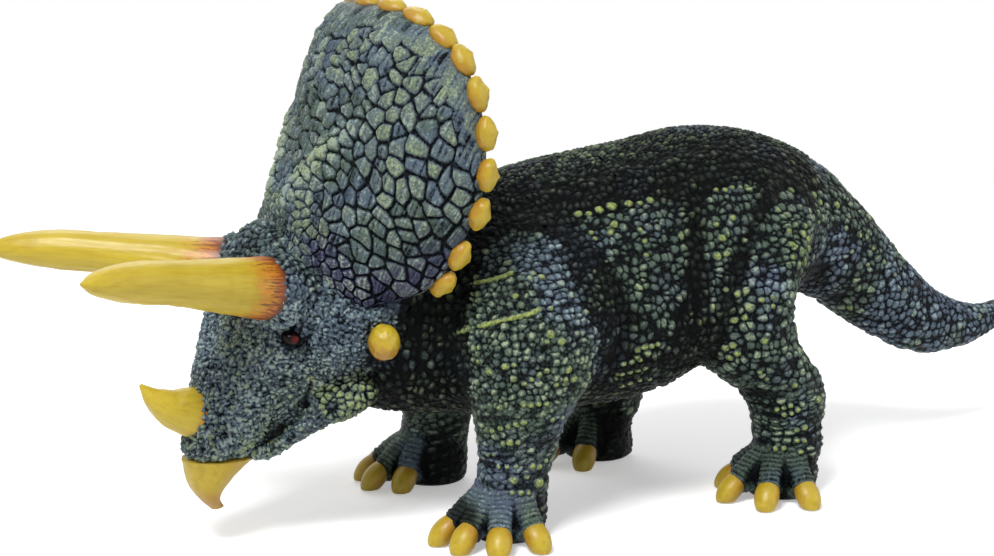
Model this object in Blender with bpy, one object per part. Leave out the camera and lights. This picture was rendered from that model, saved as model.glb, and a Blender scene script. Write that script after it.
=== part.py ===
"""A walking three-horned dinosaur figure, moulded in soft plastic as separate pieces.

The trunk, head, frill, lower jaw, beak, horns, eyes, legs and tail are lofted mouldings.
Each smaller piece sits in a pocket of the larger one that carries it, with a glue gap all
round, and the head, legs and tail also have a round plug in a socket of the trunk.
The head points along -X and the animal's left side is -Y.
"""

import math

import bmesh
import bpy
import numpy as np

# Driving sizes, in metres
TRUNK_LENGTH = 0.100
HIP_HEIGHT = 0.100
TRUNK_WIDTH = 0.076
STANCE_WIDTH = 0.0552
LEG_GIRTH = 0.020
TAIL_LENGTH = 0.095
TAIL_WIDTH = 0.039
TAIL_SWAY = 0.007
HEAD_LENGTH = 0.060
HEAD_WIDTH = 0.043
FRILL_HEIGHT = 0.055
FRILL_WIDTH = 0.0792
FRILL_THICKNESS = 0.0048
FRILL_ROOT_DEPTH = 0.0016
STUD_LENGTH = 0.0066
STUD_RISE = 0.0072
STUD_THICKNESS = 0.0054
BROW_HORN_LENGTH = 0.0585
BROW_HORN_SPREAD = 0.082
BROW_HORN_RADIUS = 0.0076
BROW_HORN_ROOT_SPACING = 0.026
NOSE_HORN_LENGTH = 0.0198
NOSE_HORN_RADIUS = 0.0070
BEAK_HEIGHT = 0.0145
BEAK_LENGTH = 0.0195
BEAK_WIDTH = 0.0160
EYE_RADIUS = 0.0028
CHEEK_HORN_RADIUS = 0.0042
TOE_LENGTH = 0.0150
TOE_WIDTH = 0.0088
TOE_HEIGHT = 0.0098
NAIL_LENGTH = 0.0074
NAIL_WIDTH = 0.0068
NAIL_HEIGHT = 0.0078
PLUG_RADIUS = 0.0055
PLUG_LENGTH = 0.0100
GLUE_GAP = 0.0003

# Counts
TRUNK_SIDES = 24
HEAD_SIDES = 20
LIMB_SIDES = 14
TAIL_SIDES = 16
HORN_SIDES = 12
BALL_SIDES = 8
BALL_RINGS = 5
PLUG_SIDES = 10
RINGS_PER_STEP = 2
HORN_RINGS = 9
GROUND_SIDES = 4
SHARP_ANGLE = math.radians(50)
FRILL_COLUMNS_PER_STEP = 1
FRILL_ROWS = 8
STUDS_PER_SIDE = 10

# The neck and tail joints, in trunk lengths along and hip heights up
neck_joint_shares = (-0.60, 0.0, 0.58)
tail_joint_shares = (0.68, 0.0, 0.69)
TRUNK_SIZE = np.array([TRUNK_LENGTH, STANCE_WIDTH, HIP_HEIGHT])
NECK_JOINT = TRUNK_SIZE * neck_joint_shares
TAIL_JOINT = TRUNK_SIZE * tail_joint_shares

# Places on the head from the neck joint, in head lengths
crown_shares = (-0.535, 0.0, 0.415)
brow_horn_root_shares = (-0.560, 0.0, 0.175)
nose_horn_root_shares = (-0.785, 0.0, -0.393)
beak_root_shares = (-0.897, 0.0, -0.578)
eye_place_shares = (-0.500, 0.0, -0.030)
cheek_horn_place_shares = (-0.130, 0.0, -0.065)
CROWN = NECK_JOINT + HEAD_LENGTH * np.array(crown_shares)

# Trunk stations: top and bottom of each section as (along, height), its half width, and
# how much wider it is below than above.
trunk_shares = (
    (-0.570, 0.790, -0.665, 0.330, 0.24, 0.00),
    (-0.500, 0.808, -0.570, 0.300, 0.285, 0.05),
    (-0.400, 0.855, -0.460, 0.285, 0.345, 0.10),
    (-0.270, 0.895, -0.330, 0.275, 0.410, 0.14),
    (-0.120, 0.924, -0.160, 0.265, 0.460, 0.16),
    (0.040, 0.944, 0.020, 0.264, 0.492, 0.16),
    (0.180, 0.959, 0.170, 0.290, 0.500, 0.14),
    (0.320, 0.981, 0.290, 0.352, 0.475, 0.08),
    (0.430, 0.980, 0.400, 0.400, 0.425, 0.04),
    (0.540, 0.960, 0.500, 0.440, 0.365, 0.02),
    (0.640, 0.925, 0.585, 0.475, 0.310, 0.00),
    (0.720, 0.884, 0.640, 0.505, 0.265, 0.00),
)

# Tail stations from the tail joint: along in tail lengths, heights in hip heights.
tail_shares = (
    (0.042, 0.885, -0.042, 0.505, 0.50, 0.00),
    (0.126, 0.830, 0.026, 0.493, 0.44, 0.00),
    (0.211, 0.754, 0.090, 0.468, 0.39, 0.01),
    (0.302, 0.668, 0.158, 0.428, 0.335, 0.03),
    (0.386, 0.584, 0.242, 0.374, 0.285, 0.08),
    (0.474, 0.508, 0.342, 0.322, 0.24, 0.16),
    (0.560, 0.444, 0.449, 0.274, 0.20, 0.26),
    (0.640, 0.406, 0.565, 0.252, 0.165, 0.38),
    (0.721, 0.382, 0.691, 0.258, 0.135, 0.52),
    (0.798, 0.378, 0.798, 0.288, 0.105, 0.66),
    (0.872, 0.392, 0.889, 0.336, 0.078, 0.80),
    (0.941, 0.424, 0.954, 0.393, 0.048, 0.92),
    (0.997, 0.460, 1.000, 0.449, 0.018, 1.00),
)

# Head stations from the neck joint, in head lengths: top and bottom, then the half width
# and how much wider the section is below.
head_shares = (
    (0.050, 0.367, -0.092, -0.283, 0.44, 0.00),
    (-0.100, 0.417, -0.150, -0.300, 0.49, 0.05),
    (-0.283, 0.458, -0.217, -0.325, 0.50, 0.08),
    (-0.467, 0.447, -0.300, -0.350, 0.455, 0.05),
    (-0.600, 0.378, -0.392, -0.392, 0.385, -0.02),
    (-0.695, 0.250, -0.475, -0.443, 0.340, -0.08),
    (-0.748, 0.100, -0.525, -0.475, 0.310, -0.10),
    (-0.785, -0.050, -0.550, -0.505, 0.280, -0.10),
    (-0.838, -0.217, -0.563, -0.533, 0.250, -0.06),
    (-0.900, -0.400, -0.570, -0.550, 0.220, 0.00),
    (-0.900, -0.573, -0.575, -0.576, 0.175, 0.00),
)

# Lower jaw stations from the neck joint, in head lengths.
jaw_shares = (
    (-0.660, -0.530, -0.640, -0.590, 0.12, 0.0),
    (-0.580, -0.470, -0.540, -0.615, 0.21, 0.0),
    (-0.470, -0.390, -0.415, -0.537, 0.29, 0.0),
    (-0.383, -0.300, -0.310, -0.480, 0.37, 0.0),
    (-0.267, -0.217, -0.195, -0.447, 0.41, 0.0),
    (-0.150, -0.217, -0.110, -0.400, 0.39, 0.0),
    (-0.085, -0.260, -0.060, -0.350, 0.28, 0.0),
)

# Frill edge from its top centre to its lowest point: back and up from the crown in frill
# heights, and sideways in half frill widths. The root runs over the head in head lengths
# back and up from the crown, and sideways in half head widths.
frill_edge_shares = (
    (0.538, 0.000, 0.996),
    (0.576, 0.303, 0.989),
    (0.636, 0.525, 0.948),
    (0.700, 0.717, 0.862),
    (0.748, 0.864, 0.762),
    (0.784, 0.957, 0.611),
    (0.806, 1.000, 0.442),
    (0.808, 0.995, 0.260),
    (0.790, 0.930, 0.082),
    (0.727, 0.813, -0.116),
    (0.684, 0.697, -0.251),
    (0.600, 0.565, -0.316),
)
frill_root_shares = (
    (0.065, 0.000, 0.010),
    (0.067, 0.190, 0.008),
    (0.070, 0.350, -0.010),
    (0.075, 0.490, -0.037),
    (0.082, 0.605, -0.067),
    (0.105, 0.700, -0.100),
    (0.125, 0.770, -0.133),
    (0.167, 0.815, -0.175),
    (0.208, 0.850, -0.217),
    (0.250, 0.875, -0.267),
    (0.300, 0.885, -0.308),
    (0.350, 0.885, -0.342),
)

# How far the frill bulges forward in frill heights, how much thinner its rim is, and how far
# the studs sink into the rim and stand toward its middle
FRILL_BULGE_SHARE = 0.078
FRILL_SIDE_BULGE_SHARE = 0.02
FRILL_BULGE_POWER = 2.3
FRILL_RIM_SHARE = 0.45
FRILL_RIM_POWER = 4
STUD_SINK_SHARE = 0.04
STUD_SHIFT_SHARE = 0.13

# The way the frill faces, by its place from the middle column (0) to either end (1).
frill_facing_shares = (
    (0.0, -0.880, 0.000, 0.475),
    (0.3, -0.750, 0.565, 0.343),
    (0.6, -0.535, 0.845, 0.000),
    (1.0, -0.450, 0.880, -0.150),
)

# Horn profiles: place along the horn, radius, and how far the horn sags below its chord.
brow_horn_shares = (
    (0.00, 1.00, 0.00),
    (0.15, 0.97, 0.25),
    (0.35, 0.84, 0.70),
    (0.55, 0.71, 1.00),
    (0.72, 0.67, 0.90),
    (0.85, 0.53, 0.60),
    (0.94, 0.35, 0.25),
    (1.00, 0.07, 0.00),
)
nose_horn_shares = (
    (0.00, 1.00, 0.00),
    (0.25, 0.90, 0.55),
    (0.50, 0.69, 1.00),
    (0.75, 0.42, 0.80),
    (0.92, 0.18, 0.30),
    (1.00, 0.06, 0.00),
)

# How the horns are set, in horn lengths: the tip's reach, and how far the horn sags
NOSE_HORN_SAG_SHARE = 0.10
nose_horn_reach_shares = (-0.87, 0.0, 0.50)
BROW_HORN_REACH_SHARE = 0.98
brow_horn_rise_shares = {-1: 0.205, 1: 0.100}
brow_horn_sag_shares = {-1: -0.012, 1: -0.022}

# The spacing of the eyes and of the cheek horns in head widths, and a cheek horn's form in radii
EYE_SPACING_SHARE = 0.744
CHEEK_HORN_SPACING_SHARE = 1.07
cheek_horn_form_shares = (1.0, 1.15, 1.1)

# Beak stations downward: front and rear in beak lengths, height in beak heights, half width.
beak_shares = (
    (0.006, 0.00, 1.000, 0.00, 0.50),
    (0.030, -0.20, 0.800, -0.20, 0.46),
    (0.066, -0.40, 0.625, -0.42, 0.40),
    (0.136, -0.60, 0.515, -0.62, 0.32),
    (0.248, -0.79, 0.490, -0.78, 0.23),
    (0.372, -0.95, 0.545, -0.91, 0.12),
)

# Leg stations from the sole up: height in hip heights, along in trunk lengths and outward in
# half stance widths from the foot centre, half length and half width in leg girths.
front_leg_shares = (
    (0.000, -0.003, 0.00, 0.60, 0.55),
    (0.045, -0.003, 0.00, 0.64, 0.58),
    (0.090, 0.010, 0.00, 0.57, 0.53),
    (0.140, 0.020, 0.00, 0.50, 0.48),
    (0.220, 0.035, 0.00, 0.53, 0.50),
    (0.300, 0.045, 0.00, 0.62, 0.57),
    (0.400, 0.065, 0.02, 0.79, 0.66),
    (0.500, 0.080, 0.04, 0.95, 0.71),
    (0.600, 0.100, 0.00, 1.02, 0.70),
    (0.680, 0.110, -0.12, 0.96, 0.62),
    (0.750, 0.120, -0.30, 0.76, 0.48),
    (0.800, 0.120, -0.42, 0.42, 0.28),
)
rear_leg_shares = (
    (0.000, 0.010, 0.00, 0.66, 0.55),
    (0.045, 0.012, 0.00, 0.69, 0.58),
    (0.090, 0.032, 0.00, 0.58, 0.52),
    (0.160, 0.025, 0.00, 0.50, 0.46),
    (0.240, 0.020, 0.00, 0.55, 0.50),
    (0.300, 0.003, 0.00, 0.65, 0.55),
    (0.370, -0.066, 0.01, 0.75, 0.62),
    (0.460, -0.124, 0.03, 0.70, 0.70),
    (0.560, -0.133, 0.02, 0.69, 0.74),
    (0.660, -0.100, -0.06, 0.81, 0.71),
    (0.760, -0.060, -0.20, 0.85, 0.61),
    (0.850, -0.045, -0.42, 0.66, 0.44),
    (0.905, -0.035, -0.58, 0.36, 0.24),
)
SWING_START_SHARE = 0.08
SWING_RANGE_SHARE = 0.62
front_toe_degrees = (-35, -3, 28, 60, 92)
rear_toe_degrees = (-28, 3, 40, 80)

# Toes and nails: places from the foot's middle in toe lengths, lifts and leans in their heights
TOE_PLACE_SHARE = 0.56
TOE_LIFT_SHARE = 0.40
TOE_LEAN_SHARE = 0.45
toe_form_shares = (0.50, 0.50, 0.62)
NAIL_PLACE_SHARE = 0.99
NAIL_LIFT_SHARE = 0.36
NAIL_LEAN_SHARE = 0.35
GROUND_SPAN_SHARE = 2.0
GROUND_DEPTH_SHARE = 0.25

# Plugs: the leg stations that carry one, and lengths in plug lengths
PLUG_STATIONS = slice(-5, -3)
LEG_PLUG_SHARE = 0.8
neck_plug_way_shares = (0.95, 0.0, 0.12)
NECK_PLUG_RADIUS_SHARE = 1.5
NECK_PLUG_FRONT_SHARE = 0.6
NECK_PLUG_REAR_SHARE = 1.3
TAIL_PLUG_FRONT_SHARE = 1.1
TAIL_PLUG_REAR_SHARE = 0.5

# Each leg's foot place and swing back to its hip, in trunk lengths, and its side.
leg_place_shares = (
    ("front_left_leg", front_leg_shares, front_toe_degrees, -0.36, 0.00, -1),
    ("front_right_leg", front_leg_shares, front_toe_degrees, -0.318, -0.042, 1),
    ("rear_left_leg", rear_leg_shares, rear_toe_degrees, 0.485, 0.00, -1),
    ("rear_right_leg", rear_leg_shares, rear_toe_degrees, 0.215, 0.26, 1),
)


def rgb(red, green, blue):
    """A colour from screen values of 0 to 255."""
    return tuple((value / 255) ** 2.2 for value in (red, green, blue)) + (1.0,)


SKIN_COLOUR = rgb(62, 72, 78)
HORN_COLOUR = rgb(205, 165, 45)
EYE_COLOUR = rgb(90, 22, 18)


def material(name, colour, roughness):
    made = bpy.data.materials.new(name)
    made.use_nodes = True
    shader = made.node_tree.nodes["Principled BSDF"]
    shader.inputs["Base Color"].default_value = colour
    shader.inputs["Roughness"].default_value = roughness
    shader.inputs["Metallic"].default_value = 0.0
    return made


def add_object(name, mesh, look=None):
    made = bpy.data.objects.new(name, mesh)
    bpy.context.scene.collection.objects.link(made)
    if look:
        mesh.materials.clear()
        mesh.materials.append(look)
    return made


def refined(stations, steps):
    """Catmull-Rom points between the rows of a table, with the given steps from row to row."""
    rows = np.array(stations, float)
    before = np.vstack([2 * rows[0] - rows[1], rows[:-1]])
    after = np.vstack([rows[1:], 2 * rows[-1] - rows[-2]])
    slopes = (after - before) / 2
    out = []
    for i in range(len(rows) - 1):
        for step in range(steps):
            t = step / steps
            a = 2 * t**3 - 3 * t**2 + 1
            b = t**3 - 2 * t**2 + t
            c = 3 * t**2 - 2 * t**3
            d = t**3 - t**2
            out.append(a * rows[i] + b * slopes[i] + c * rows[i + 1] + d * slopes[i + 1])
    out.append(rows[-1])
    return np.array(out)


def way(axis, length):
    """A vector along one axis: 0 is X, 1 is Y and 2 is Z."""
    vector = np.zeros(3)
    vector[axis] = length
    return vector


def on_head(shares):
    """A point on the head from its shares of the head's length."""
    return NECK_JOINT + HEAD_LENGTH * np.array(shares)


def ring(centre, rise, side, sides, grow, swell=0.0):
    """One closed section: an ellipse of half axes rise and side, wider below where swell is set."""
    tall = np.linalg.norm(rise)
    wide = np.linalg.norm(side)
    up = rise / tall * (tall + grow)
    across = side / wide * (wide + grow)
    turns = np.linspace(0.0, 2 * math.pi, sides, endpoint=False)
    level = np.sin(turns)
    spread = np.cos(turns) * (1 - swell * level)
    return centre + level[:, None] * up + spread[:, None] * across


def loft(name, rings, look=None):
    """A closed body through a list of rings, with flat ends and its faces outward."""
    body = bmesh.new()
    loops = [[body.verts.new(point) for point in points] for points in rings]
    count = len(loops[0])
    for low, high in zip(loops, loops[1:]):
        for i in range(count):
            j = (i + 1) % count
            body.faces.new((low[i], low[j], high[j], high[i]))
    body.faces.new(loops[0][::-1])
    body.faces.new(loops[-1])
    bmesh.ops.triangulate(body, faces=[face for face in body.faces if len(face.verts) > 4])
    bmesh.ops.recalc_face_normals(body, faces=body.faces)
    mesh = bpy.data.meshes.new(name)
    body.to_mesh(mesh)
    body.free()
    return add_object(name, mesh, look)


def ball(name, centre, axes):
    """An egg of the given three half axes, each a vector, in either order of hand."""
    hand = 1.0 if np.linalg.det(np.array(axes)) > 0 else -1.0
    body = bmesh.new()
    bmesh.ops.create_uvsphere(body, u_segments=BALL_SIDES, v_segments=BALL_RINGS, radius=1.0)
    for vert in body.verts:
        share = np.array(vert.co)
        vert.co = centre + share[0] * axes[0] + share[1] * axes[1] + share[2] * axes[2] * hand
    mesh = bpy.data.meshes.new(name)
    body.to_mesh(mesh)
    body.free()
    return add_object(name, mesh)


def applied(obj):
    """Replaces the object's mesh by its evaluated one and drops its modifiers."""
    graph = bpy.context.evaluated_depsgraph_get()
    mesh = bpy.data.meshes.new_from_object(obj.evaluated_get(graph), depsgraph=graph)
    obj.modifiers.clear()
    obj.data = mesh


def combine(target, tool, operation):
    """Joins the tool to the target or cuts it out, and removes the tool."""
    step = target.modifiers.new(operation.title(), "BOOLEAN")
    step.operation = operation
    step.solver = "MANIFOLD"
    step.object = tool
    applied(target)
    bpy.data.objects.remove(tool, do_unlink=True)


def grown_path(points, grow):
    """A path whose two ends run on by the given length."""
    path = np.array(points, float)
    if grow:
        first = path[0] - path[1]
        last = path[-1] - path[-2]
        path[0] += first / np.linalg.norm(first) * grow
        path[-1] += last / np.linalg.norm(last) * grow
    return path


def profile_rings(tops, bottoms, halves, sways, swells, sides, grow):
    """Rings of a body given by the top and bottom of its sections in the XZ plane."""
    centres = (tops + bottoms) / 2
    centres = np.column_stack([centres[:, 0], sways, centres[:, 1]])
    centres = grown_path(centres, grow)
    rings = []
    for centre, top, bottom, half, swell in zip(centres, tops, bottoms, halves, swells):
        along, upward = (top - bottom) / 2
        rise = way(0, along) + way(2, upward)
        rings.append(ring(centre, rise, way(1, half), sides, grow, swell))
    return rings


def trunk():
    table = refined(trunk_shares, RINGS_PER_STEP)
    size = np.array([TRUNK_LENGTH, HIP_HEIGHT])
    tops = table[:, 0:2] * size
    bottoms = table[:, 2:4] * size
    halves = table[:, 4] * TRUNK_WIDTH
    sways = np.zeros(len(table))
    return profile_rings(tops, bottoms, halves, sways, table[:, 5], TRUNK_SIDES, 0.0)


def tail(grow):
    table = refined(tail_shares, RINGS_PER_STEP)
    size = np.array([TAIL_LENGTH, HIP_HEIGHT])
    start = np.array([TAIL_JOINT[0] + GLUE_GAP, 0.0])
    tops = table[:, 0:2] * size + start
    bottoms = table[:, 2:4] * size + start
    halves = table[:, 4] * TAIL_WIDTH
    sways = table[:, 5] * TAIL_SWAY
    swells = np.zeros(len(table))
    return profile_rings(tops, bottoms, halves, sways, swells, TAIL_SIDES, grow)


def head_rings(shares, sides, grow, steps):
    table = refined(shares, steps)
    start = NECK_JOINT[[0, 2]]
    tops = table[:, 0:2] * HEAD_LENGTH + start
    bottoms = table[:, 2:4] * HEAD_LENGTH + start
    halves = table[:, 4] * HEAD_WIDTH
    sways = np.zeros(len(table))
    return profile_rings(tops, bottoms, halves, sways, table[:, 5], sides, grow)


def horn_rings(base, tip, radius, profile, sag, grow):
    """Rings of a horn from base to tip that bends below its chord by sag times its length."""
    table = refined(profile, 1)
    places = np.linspace(0.0, 1.0, HORN_RINGS + 1)
    radii = np.interp(places, table[:, 0], table[:, 1]) * radius
    dips = np.interp(places, table[:, 0], table[:, 2]) * sag
    chord = tip - base
    length = np.linalg.norm(chord)
    along = chord / length
    sideways = np.cross([0.0, 0.0, 1.0], along)
    sideways /= np.linalg.norm(sideways)
    upward = np.cross(along, sideways)
    path = base + places[:, None] * chord - dips[:, None] * length * upward
    path = grown_path(path, grow)
    turn = np.gradient(path, axis=0)
    rings = []
    for centre, heading, size in zip(path, turn, radii):
        rise = np.cross(heading, sideways)
        rise /= np.linalg.norm(rise)
        rings.append(ring(centre, rise * size, sideways * size, HORN_SIDES, grow))
    return rings


def brow_horn(side, grow):
    """One brow horn: side is -1 for the left and 1 for the right."""
    base = on_head(brow_horn_root_shares) + way(1, side * BROW_HORN_ROOT_SPACING / 2)
    ahead = way(0, -BROW_HORN_LENGTH * BROW_HORN_REACH_SHARE)
    spread = way(1, side * (BROW_HORN_SPREAD - BROW_HORN_ROOT_SPACING) / 2)
    rise = way(2, BROW_HORN_LENGTH * brow_horn_rise_shares[side])
    tip = base + ahead + spread + rise
    sag = brow_horn_sag_shares[side]
    return horn_rings(base, tip, BROW_HORN_RADIUS, brow_horn_shares, sag, grow)


def nose_horn(grow):
    base = on_head(nose_horn_root_shares)
    tip = base + NOSE_HORN_LENGTH * np.array(nose_horn_reach_shares)
    return horn_rings(base, tip, NOSE_HORN_RADIUS, nose_horn_shares, NOSE_HORN_SAG_SHARE, grow)


def beak(grow):
    """The hooked beak, a loft of level sections from its flat top to its tip."""
    start = on_head(beak_root_shares) - way(2, GLUE_GAP)
    rings = []
    for front, fall, rear, drop, half in refined(beak_shares, RINGS_PER_STEP):
        ahead = start + way(0, front * BEAK_LENGTH) + way(2, fall * BEAK_HEIGHT)
        behind = start + way(0, rear * BEAK_LENGTH) + way(2, drop * BEAK_HEIGHT)
        middle = (ahead + behind) / 2
        rings.append(ring(middle, (ahead - behind) / 2, way(1, half * BEAK_WIDTH), HORN_SIDES, grow))
    return rings


def frill_grids(grow):
    """Front and back points of the frill, rows from root to edge and columns round the edge."""
    edge = refined(frill_edge_shares, FRILL_COLUMNS_PER_STEP)
    root = refined(frill_root_shares, FRILL_COLUMNS_PER_STEP)
    edge_size = np.array([FRILL_HEIGHT, FRILL_WIDTH / 2, FRILL_HEIGHT])
    root_size = np.array([HEAD_LENGTH, HEAD_WIDTH / 2, HEAD_LENGTH])
    mirror = np.array([1.0, -1.0, 1.0])
    edge = np.vstack([(edge * mirror)[:0:-1], edge]) * edge_size + CROWN
    root = np.vstack([(root * mirror)[:0:-1], root]) * root_size + CROWN
    columns = np.linspace(-1.0, 1.0, len(edge))
    rows = np.linspace(0.0, 1.0, FRILL_ROWS + 1)
    sheet = root + rows[:, None, None] * (edge - root)
    facing = np.array(frill_facing_shares)
    outward = np.array([np.interp(abs(columns), facing[:, 0], facing[:, i]) for i in (1, 2, 3)]).T
    outward[:, 1] *= np.sign(columns)
    outward /= np.linalg.norm(outward, axis=1)[:, None]
    middle = FRILL_BULGE_SHARE * (1 - columns**2) + FRILL_SIDE_BULGE_SHARE * columns**2
    swell = np.sin(math.pi * rows**FRILL_BULGE_POWER)[:, None] * middle * FRILL_HEIGHT
    front = sheet + outward * swell[:, :, None]
    rim = (1 - FRILL_RIM_SHARE * rows**FRILL_RIM_POWER)[:, None, None]
    back = front - outward * (FRILL_THICKNESS * rim + grow)
    return front + outward * grow, back, outward


def frill_plate(name, grow, look=None):
    front, back, outward = frill_grids(grow)
    body = bmesh.new()
    rows, columns = front.shape[:2]
    centre = (front + back) / 2
    edge_way = np.gradient(centre, axis=0)
    edge_way /= np.linalg.norm(edge_way, axis=2)[:, :, None]
    front[0] -= edge_way[0] * (FRILL_ROOT_DEPTH + grow)
    back[0] -= edge_way[0] * (FRILL_ROOT_DEPTH + grow)
    front[-1] += edge_way[-1] * grow
    back[-1] += edge_way[-1] * grow
    side_way = np.gradient(centre, axis=1)
    side_way /= np.linalg.norm(side_way, axis=2)[:, :, None]
    for sheet in (front, back):
        sheet[:, 0] -= side_way[:, 0] * grow
        sheet[:, -1] += side_way[:, -1] * grow
    faces = [[[body.verts.new(point) for point in row] for row in sheet] for sheet in (front, back)]
    for i in range(rows - 1):
        for j in range(columns - 1):
            for sheet in faces:
                body.faces.new((sheet[i][j], sheet[i][j + 1], sheet[i + 1][j + 1], sheet[i + 1][j]))
    for i in range(rows - 1):
        for j in (0, columns - 1):
            ahead, behind = faces
            body.faces.new((ahead[i][j], ahead[i + 1][j], behind[i + 1][j], behind[i][j]))
    for j in range(columns - 1):
        for i in (0, rows - 1):
            ahead, behind = faces
            body.faces.new((ahead[i][j], ahead[i][j + 1], behind[i][j + 1], behind[i][j]))
    bmesh.ops.recalc_face_normals(body, faces=body.faces)
    mesh = bpy.data.meshes.new(name)
    body.to_mesh(mesh)
    body.free()
    return add_object(name, mesh, look)


def frill(look):
    """The frill with its row of edge studs fused to it."""
    made = frill_plate("frill_shield", 0.0, look)
    front, back, outward = frill_grids(0.0)
    centre = (front[-1] + back[-1]) / 2
    up = centre - (front[-2] + back[-2]) / 2
    middle = len(centre) // 2
    for side in (-1, 1):
        for place in range(STUDS_PER_SIDE + 1):
            if place == 0 and side == 1:
                continue
            at = middle + side * place
            along = centre[min(at + 1, len(centre) - 1)] - centre[at - 1]
            along = along / np.linalg.norm(along)
            rise = up[at] / np.linalg.norm(up[at])
            thick = outward[at]
            axes = (along * STUD_LENGTH / 2, rise * STUD_RISE / 2, thick * STUD_THICKNESS / 2)
            stud = centre[at] - rise * STUD_RISE * STUD_SINK_SHARE
            stud = stud - along * side * STUD_LENGTH * STUD_SHIFT_SHARE * min(place, 1)
            combine(made, ball("stud", stud, axes), "UNION")
    return made


def swung(height, swing):
    """How far a leg has swung along the trunk at a height given in hip heights."""
    share = np.clip((height - SWING_START_SHARE) / SWING_RANGE_SHARE, 0.0, 1.0)
    return swing * TRUNK_LENGTH * share**2 * (3 - 2 * share)


def leg_rings(table_shares, foot, side, swing, grow):
    table = refined(table_shares, RINGS_PER_STEP)
    heights = table[:, 0] * HIP_HEIGHT
    along = foot + table[:, 1] * TRUNK_LENGTH + swung(table[:, 0], swing)
    out = side * STANCE_WIDTH / 2 * (1 + table[:, 2])
    path = grown_path(np.column_stack([along, out, heights]), grow)
    rings = []
    for centre, length, width in zip(path, table[:, 3] * LEG_GIRTH, table[:, 4] * LEG_GIRTH):
        rings.append(ring(centre, way(0, -length), way(1, width), LIMB_SIDES, grow))
    return rings


def leg_plug(foot, table_shares, side, swing, grow):
    """The round plug on the inner side of a leg's top."""
    height, ahead, outward, length, width = np.mean(table_shares[PLUG_STATIONS], axis=0)
    along = foot + ahead * TRUNK_LENGTH + swung(height, swing)
    start = np.array([along, side * STANCE_WIDTH / 2 * (1 + outward), height * HIP_HEIGHT])
    end = start - way(1, side * (LEG_GIRTH * width + PLUG_LENGTH * LEG_PLUG_SHARE))
    path = grown_path([start, end], grow)
    return [ring(centre, way(2, PLUG_RADIUS), way(0, PLUG_RADIUS), PLUG_SIDES, grow) for centre in path]


def leg(name, table_shares, toes, foot, side, swing, look):
    """A leg moulding with its plug, toes and nails, cut level at the sole."""
    made = loft(name, leg_rings(table_shares, foot, side, swing, 0.0), look)
    combine(made, loft("plug", leg_plug(foot, table_shares, side, swing, 0.0)), "UNION")
    middle = way(0, foot) + way(1, side * STANCE_WIDTH / 2)
    upward = way(2, 1.0)
    long_share, wide_share, tall_share = toe_form_shares
    for degrees in toes:
        angle = math.radians(degrees)
        out = np.array([-math.cos(angle), side * math.sin(angle), 0.0])
        across = np.cross(out, upward)
        toe = middle + out * TOE_LENGTH * TOE_PLACE_SHARE + upward * TOE_HEIGHT * TOE_LIFT_SHARE
        rise = (upward - out * TOE_LEAN_SHARE) * TOE_HEIGHT * tall_share
        axes = (out * TOE_LENGTH * long_share, across * TOE_WIDTH * wide_share, rise)
        combine(made, ball("toe", toe, axes), "UNION")
        nail = middle + out * TOE_LENGTH * NAIL_PLACE_SHARE + upward * NAIL_HEIGHT * NAIL_LIFT_SHARE
        rise = (upward - out * NAIL_LEAN_SHARE) * NAIL_HEIGHT / 2
        combine(made, ball("nail", nail, (out * NAIL_LENGTH / 2, across * NAIL_WIDTH / 2, rise)), "UNION")
    span = TOE_LENGTH * GROUND_SPAN_SHARE
    below = [middle - upward * HIP_HEIGHT * GROUND_DEPTH_SHARE, middle]
    ground = [ring(point, way(0, span), way(1, span), GROUND_SIDES, 0.0) for point in below]
    combine(made, loft("ground", ground), "DIFFERENCE")
    return made


def neck_plug(grow):
    """The head's round plug, along the neck."""
    along = np.array(neck_plug_way_shares) * PLUG_LENGTH
    start = NECK_JOINT - along * NECK_PLUG_FRONT_SHARE
    path = grown_path([start, NECK_JOINT + along * NECK_PLUG_REAR_SHARE], grow)
    across = way(1, PLUG_RADIUS * NECK_PLUG_RADIUS_SHARE)
    rise = np.cross(across, along) / -PLUG_LENGTH
    return [ring(centre, rise, across, PLUG_SIDES, grow) for centre in path]


def tail_plug(grow):
    """The tail's round plug, forward into the rump."""
    start = TAIL_JOINT + way(0, PLUG_LENGTH * TAIL_PLUG_REAR_SHARE)
    end = TAIL_JOINT - way(0, PLUG_LENGTH * TAIL_PLUG_FRONT_SHARE)
    path = grown_path([start, end], grow)
    return [ring(centre, way(2, PLUG_RADIUS), way(1, PLUG_RADIUS), PLUG_SIDES, grow) for centre in path]


def eye(side, grow):
    centre = on_head(eye_place_shares) + way(1, side * HEAD_WIDTH * EYE_SPACING_SHARE / 2)
    return ball("eye", centre, np.eye(3) * (EYE_RADIUS + grow))


def cheek_horn(side, grow):
    """The blunt boss that points out of the cheek."""
    centre = on_head(cheek_horn_place_shares) + way(1, side * HEAD_WIDTH * CHEEK_HORN_SPACING_SHARE / 2)
    return ball("boss", centre, np.diag(cheek_horn_form_shares) * (CHEEK_HORN_RADIUS + grow))


def named(obj, name, look):
    obj.name = name
    obj.data.name = name
    obj.data.materials.clear()
    obj.data.materials.append(look)
    return obj


def seat(carrier, cutter):
    """Cuts the pocket of a carried piece, its shape plus the glue gap, into its carrier."""
    combine(carrier, cutter, "DIFFERENCE")


def drop_crumbs(obj):
    """Keeps the largest connected part of a mesh, without the crumbs that a cut can leave."""
    body = bmesh.new()
    body.from_mesh(obj.data)
    left = set(body.verts)
    parts = []
    while left:
        part = {left.pop()}
        fresh = list(part)
        while fresh:
            near = {edge.other_vert(vert) for vert in fresh for edge in vert.link_edges}
            fresh = list(near & left)
            part |= near
            left -= near
        parts.append(part)
    largest = max(parts, key=len)
    crumbs = [vert for vert in body.verts if vert not in largest]
    bmesh.ops.delete(body, geom=crumbs, context="VERTS")
    body.to_mesh(obj.data)
    body.free()


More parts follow.
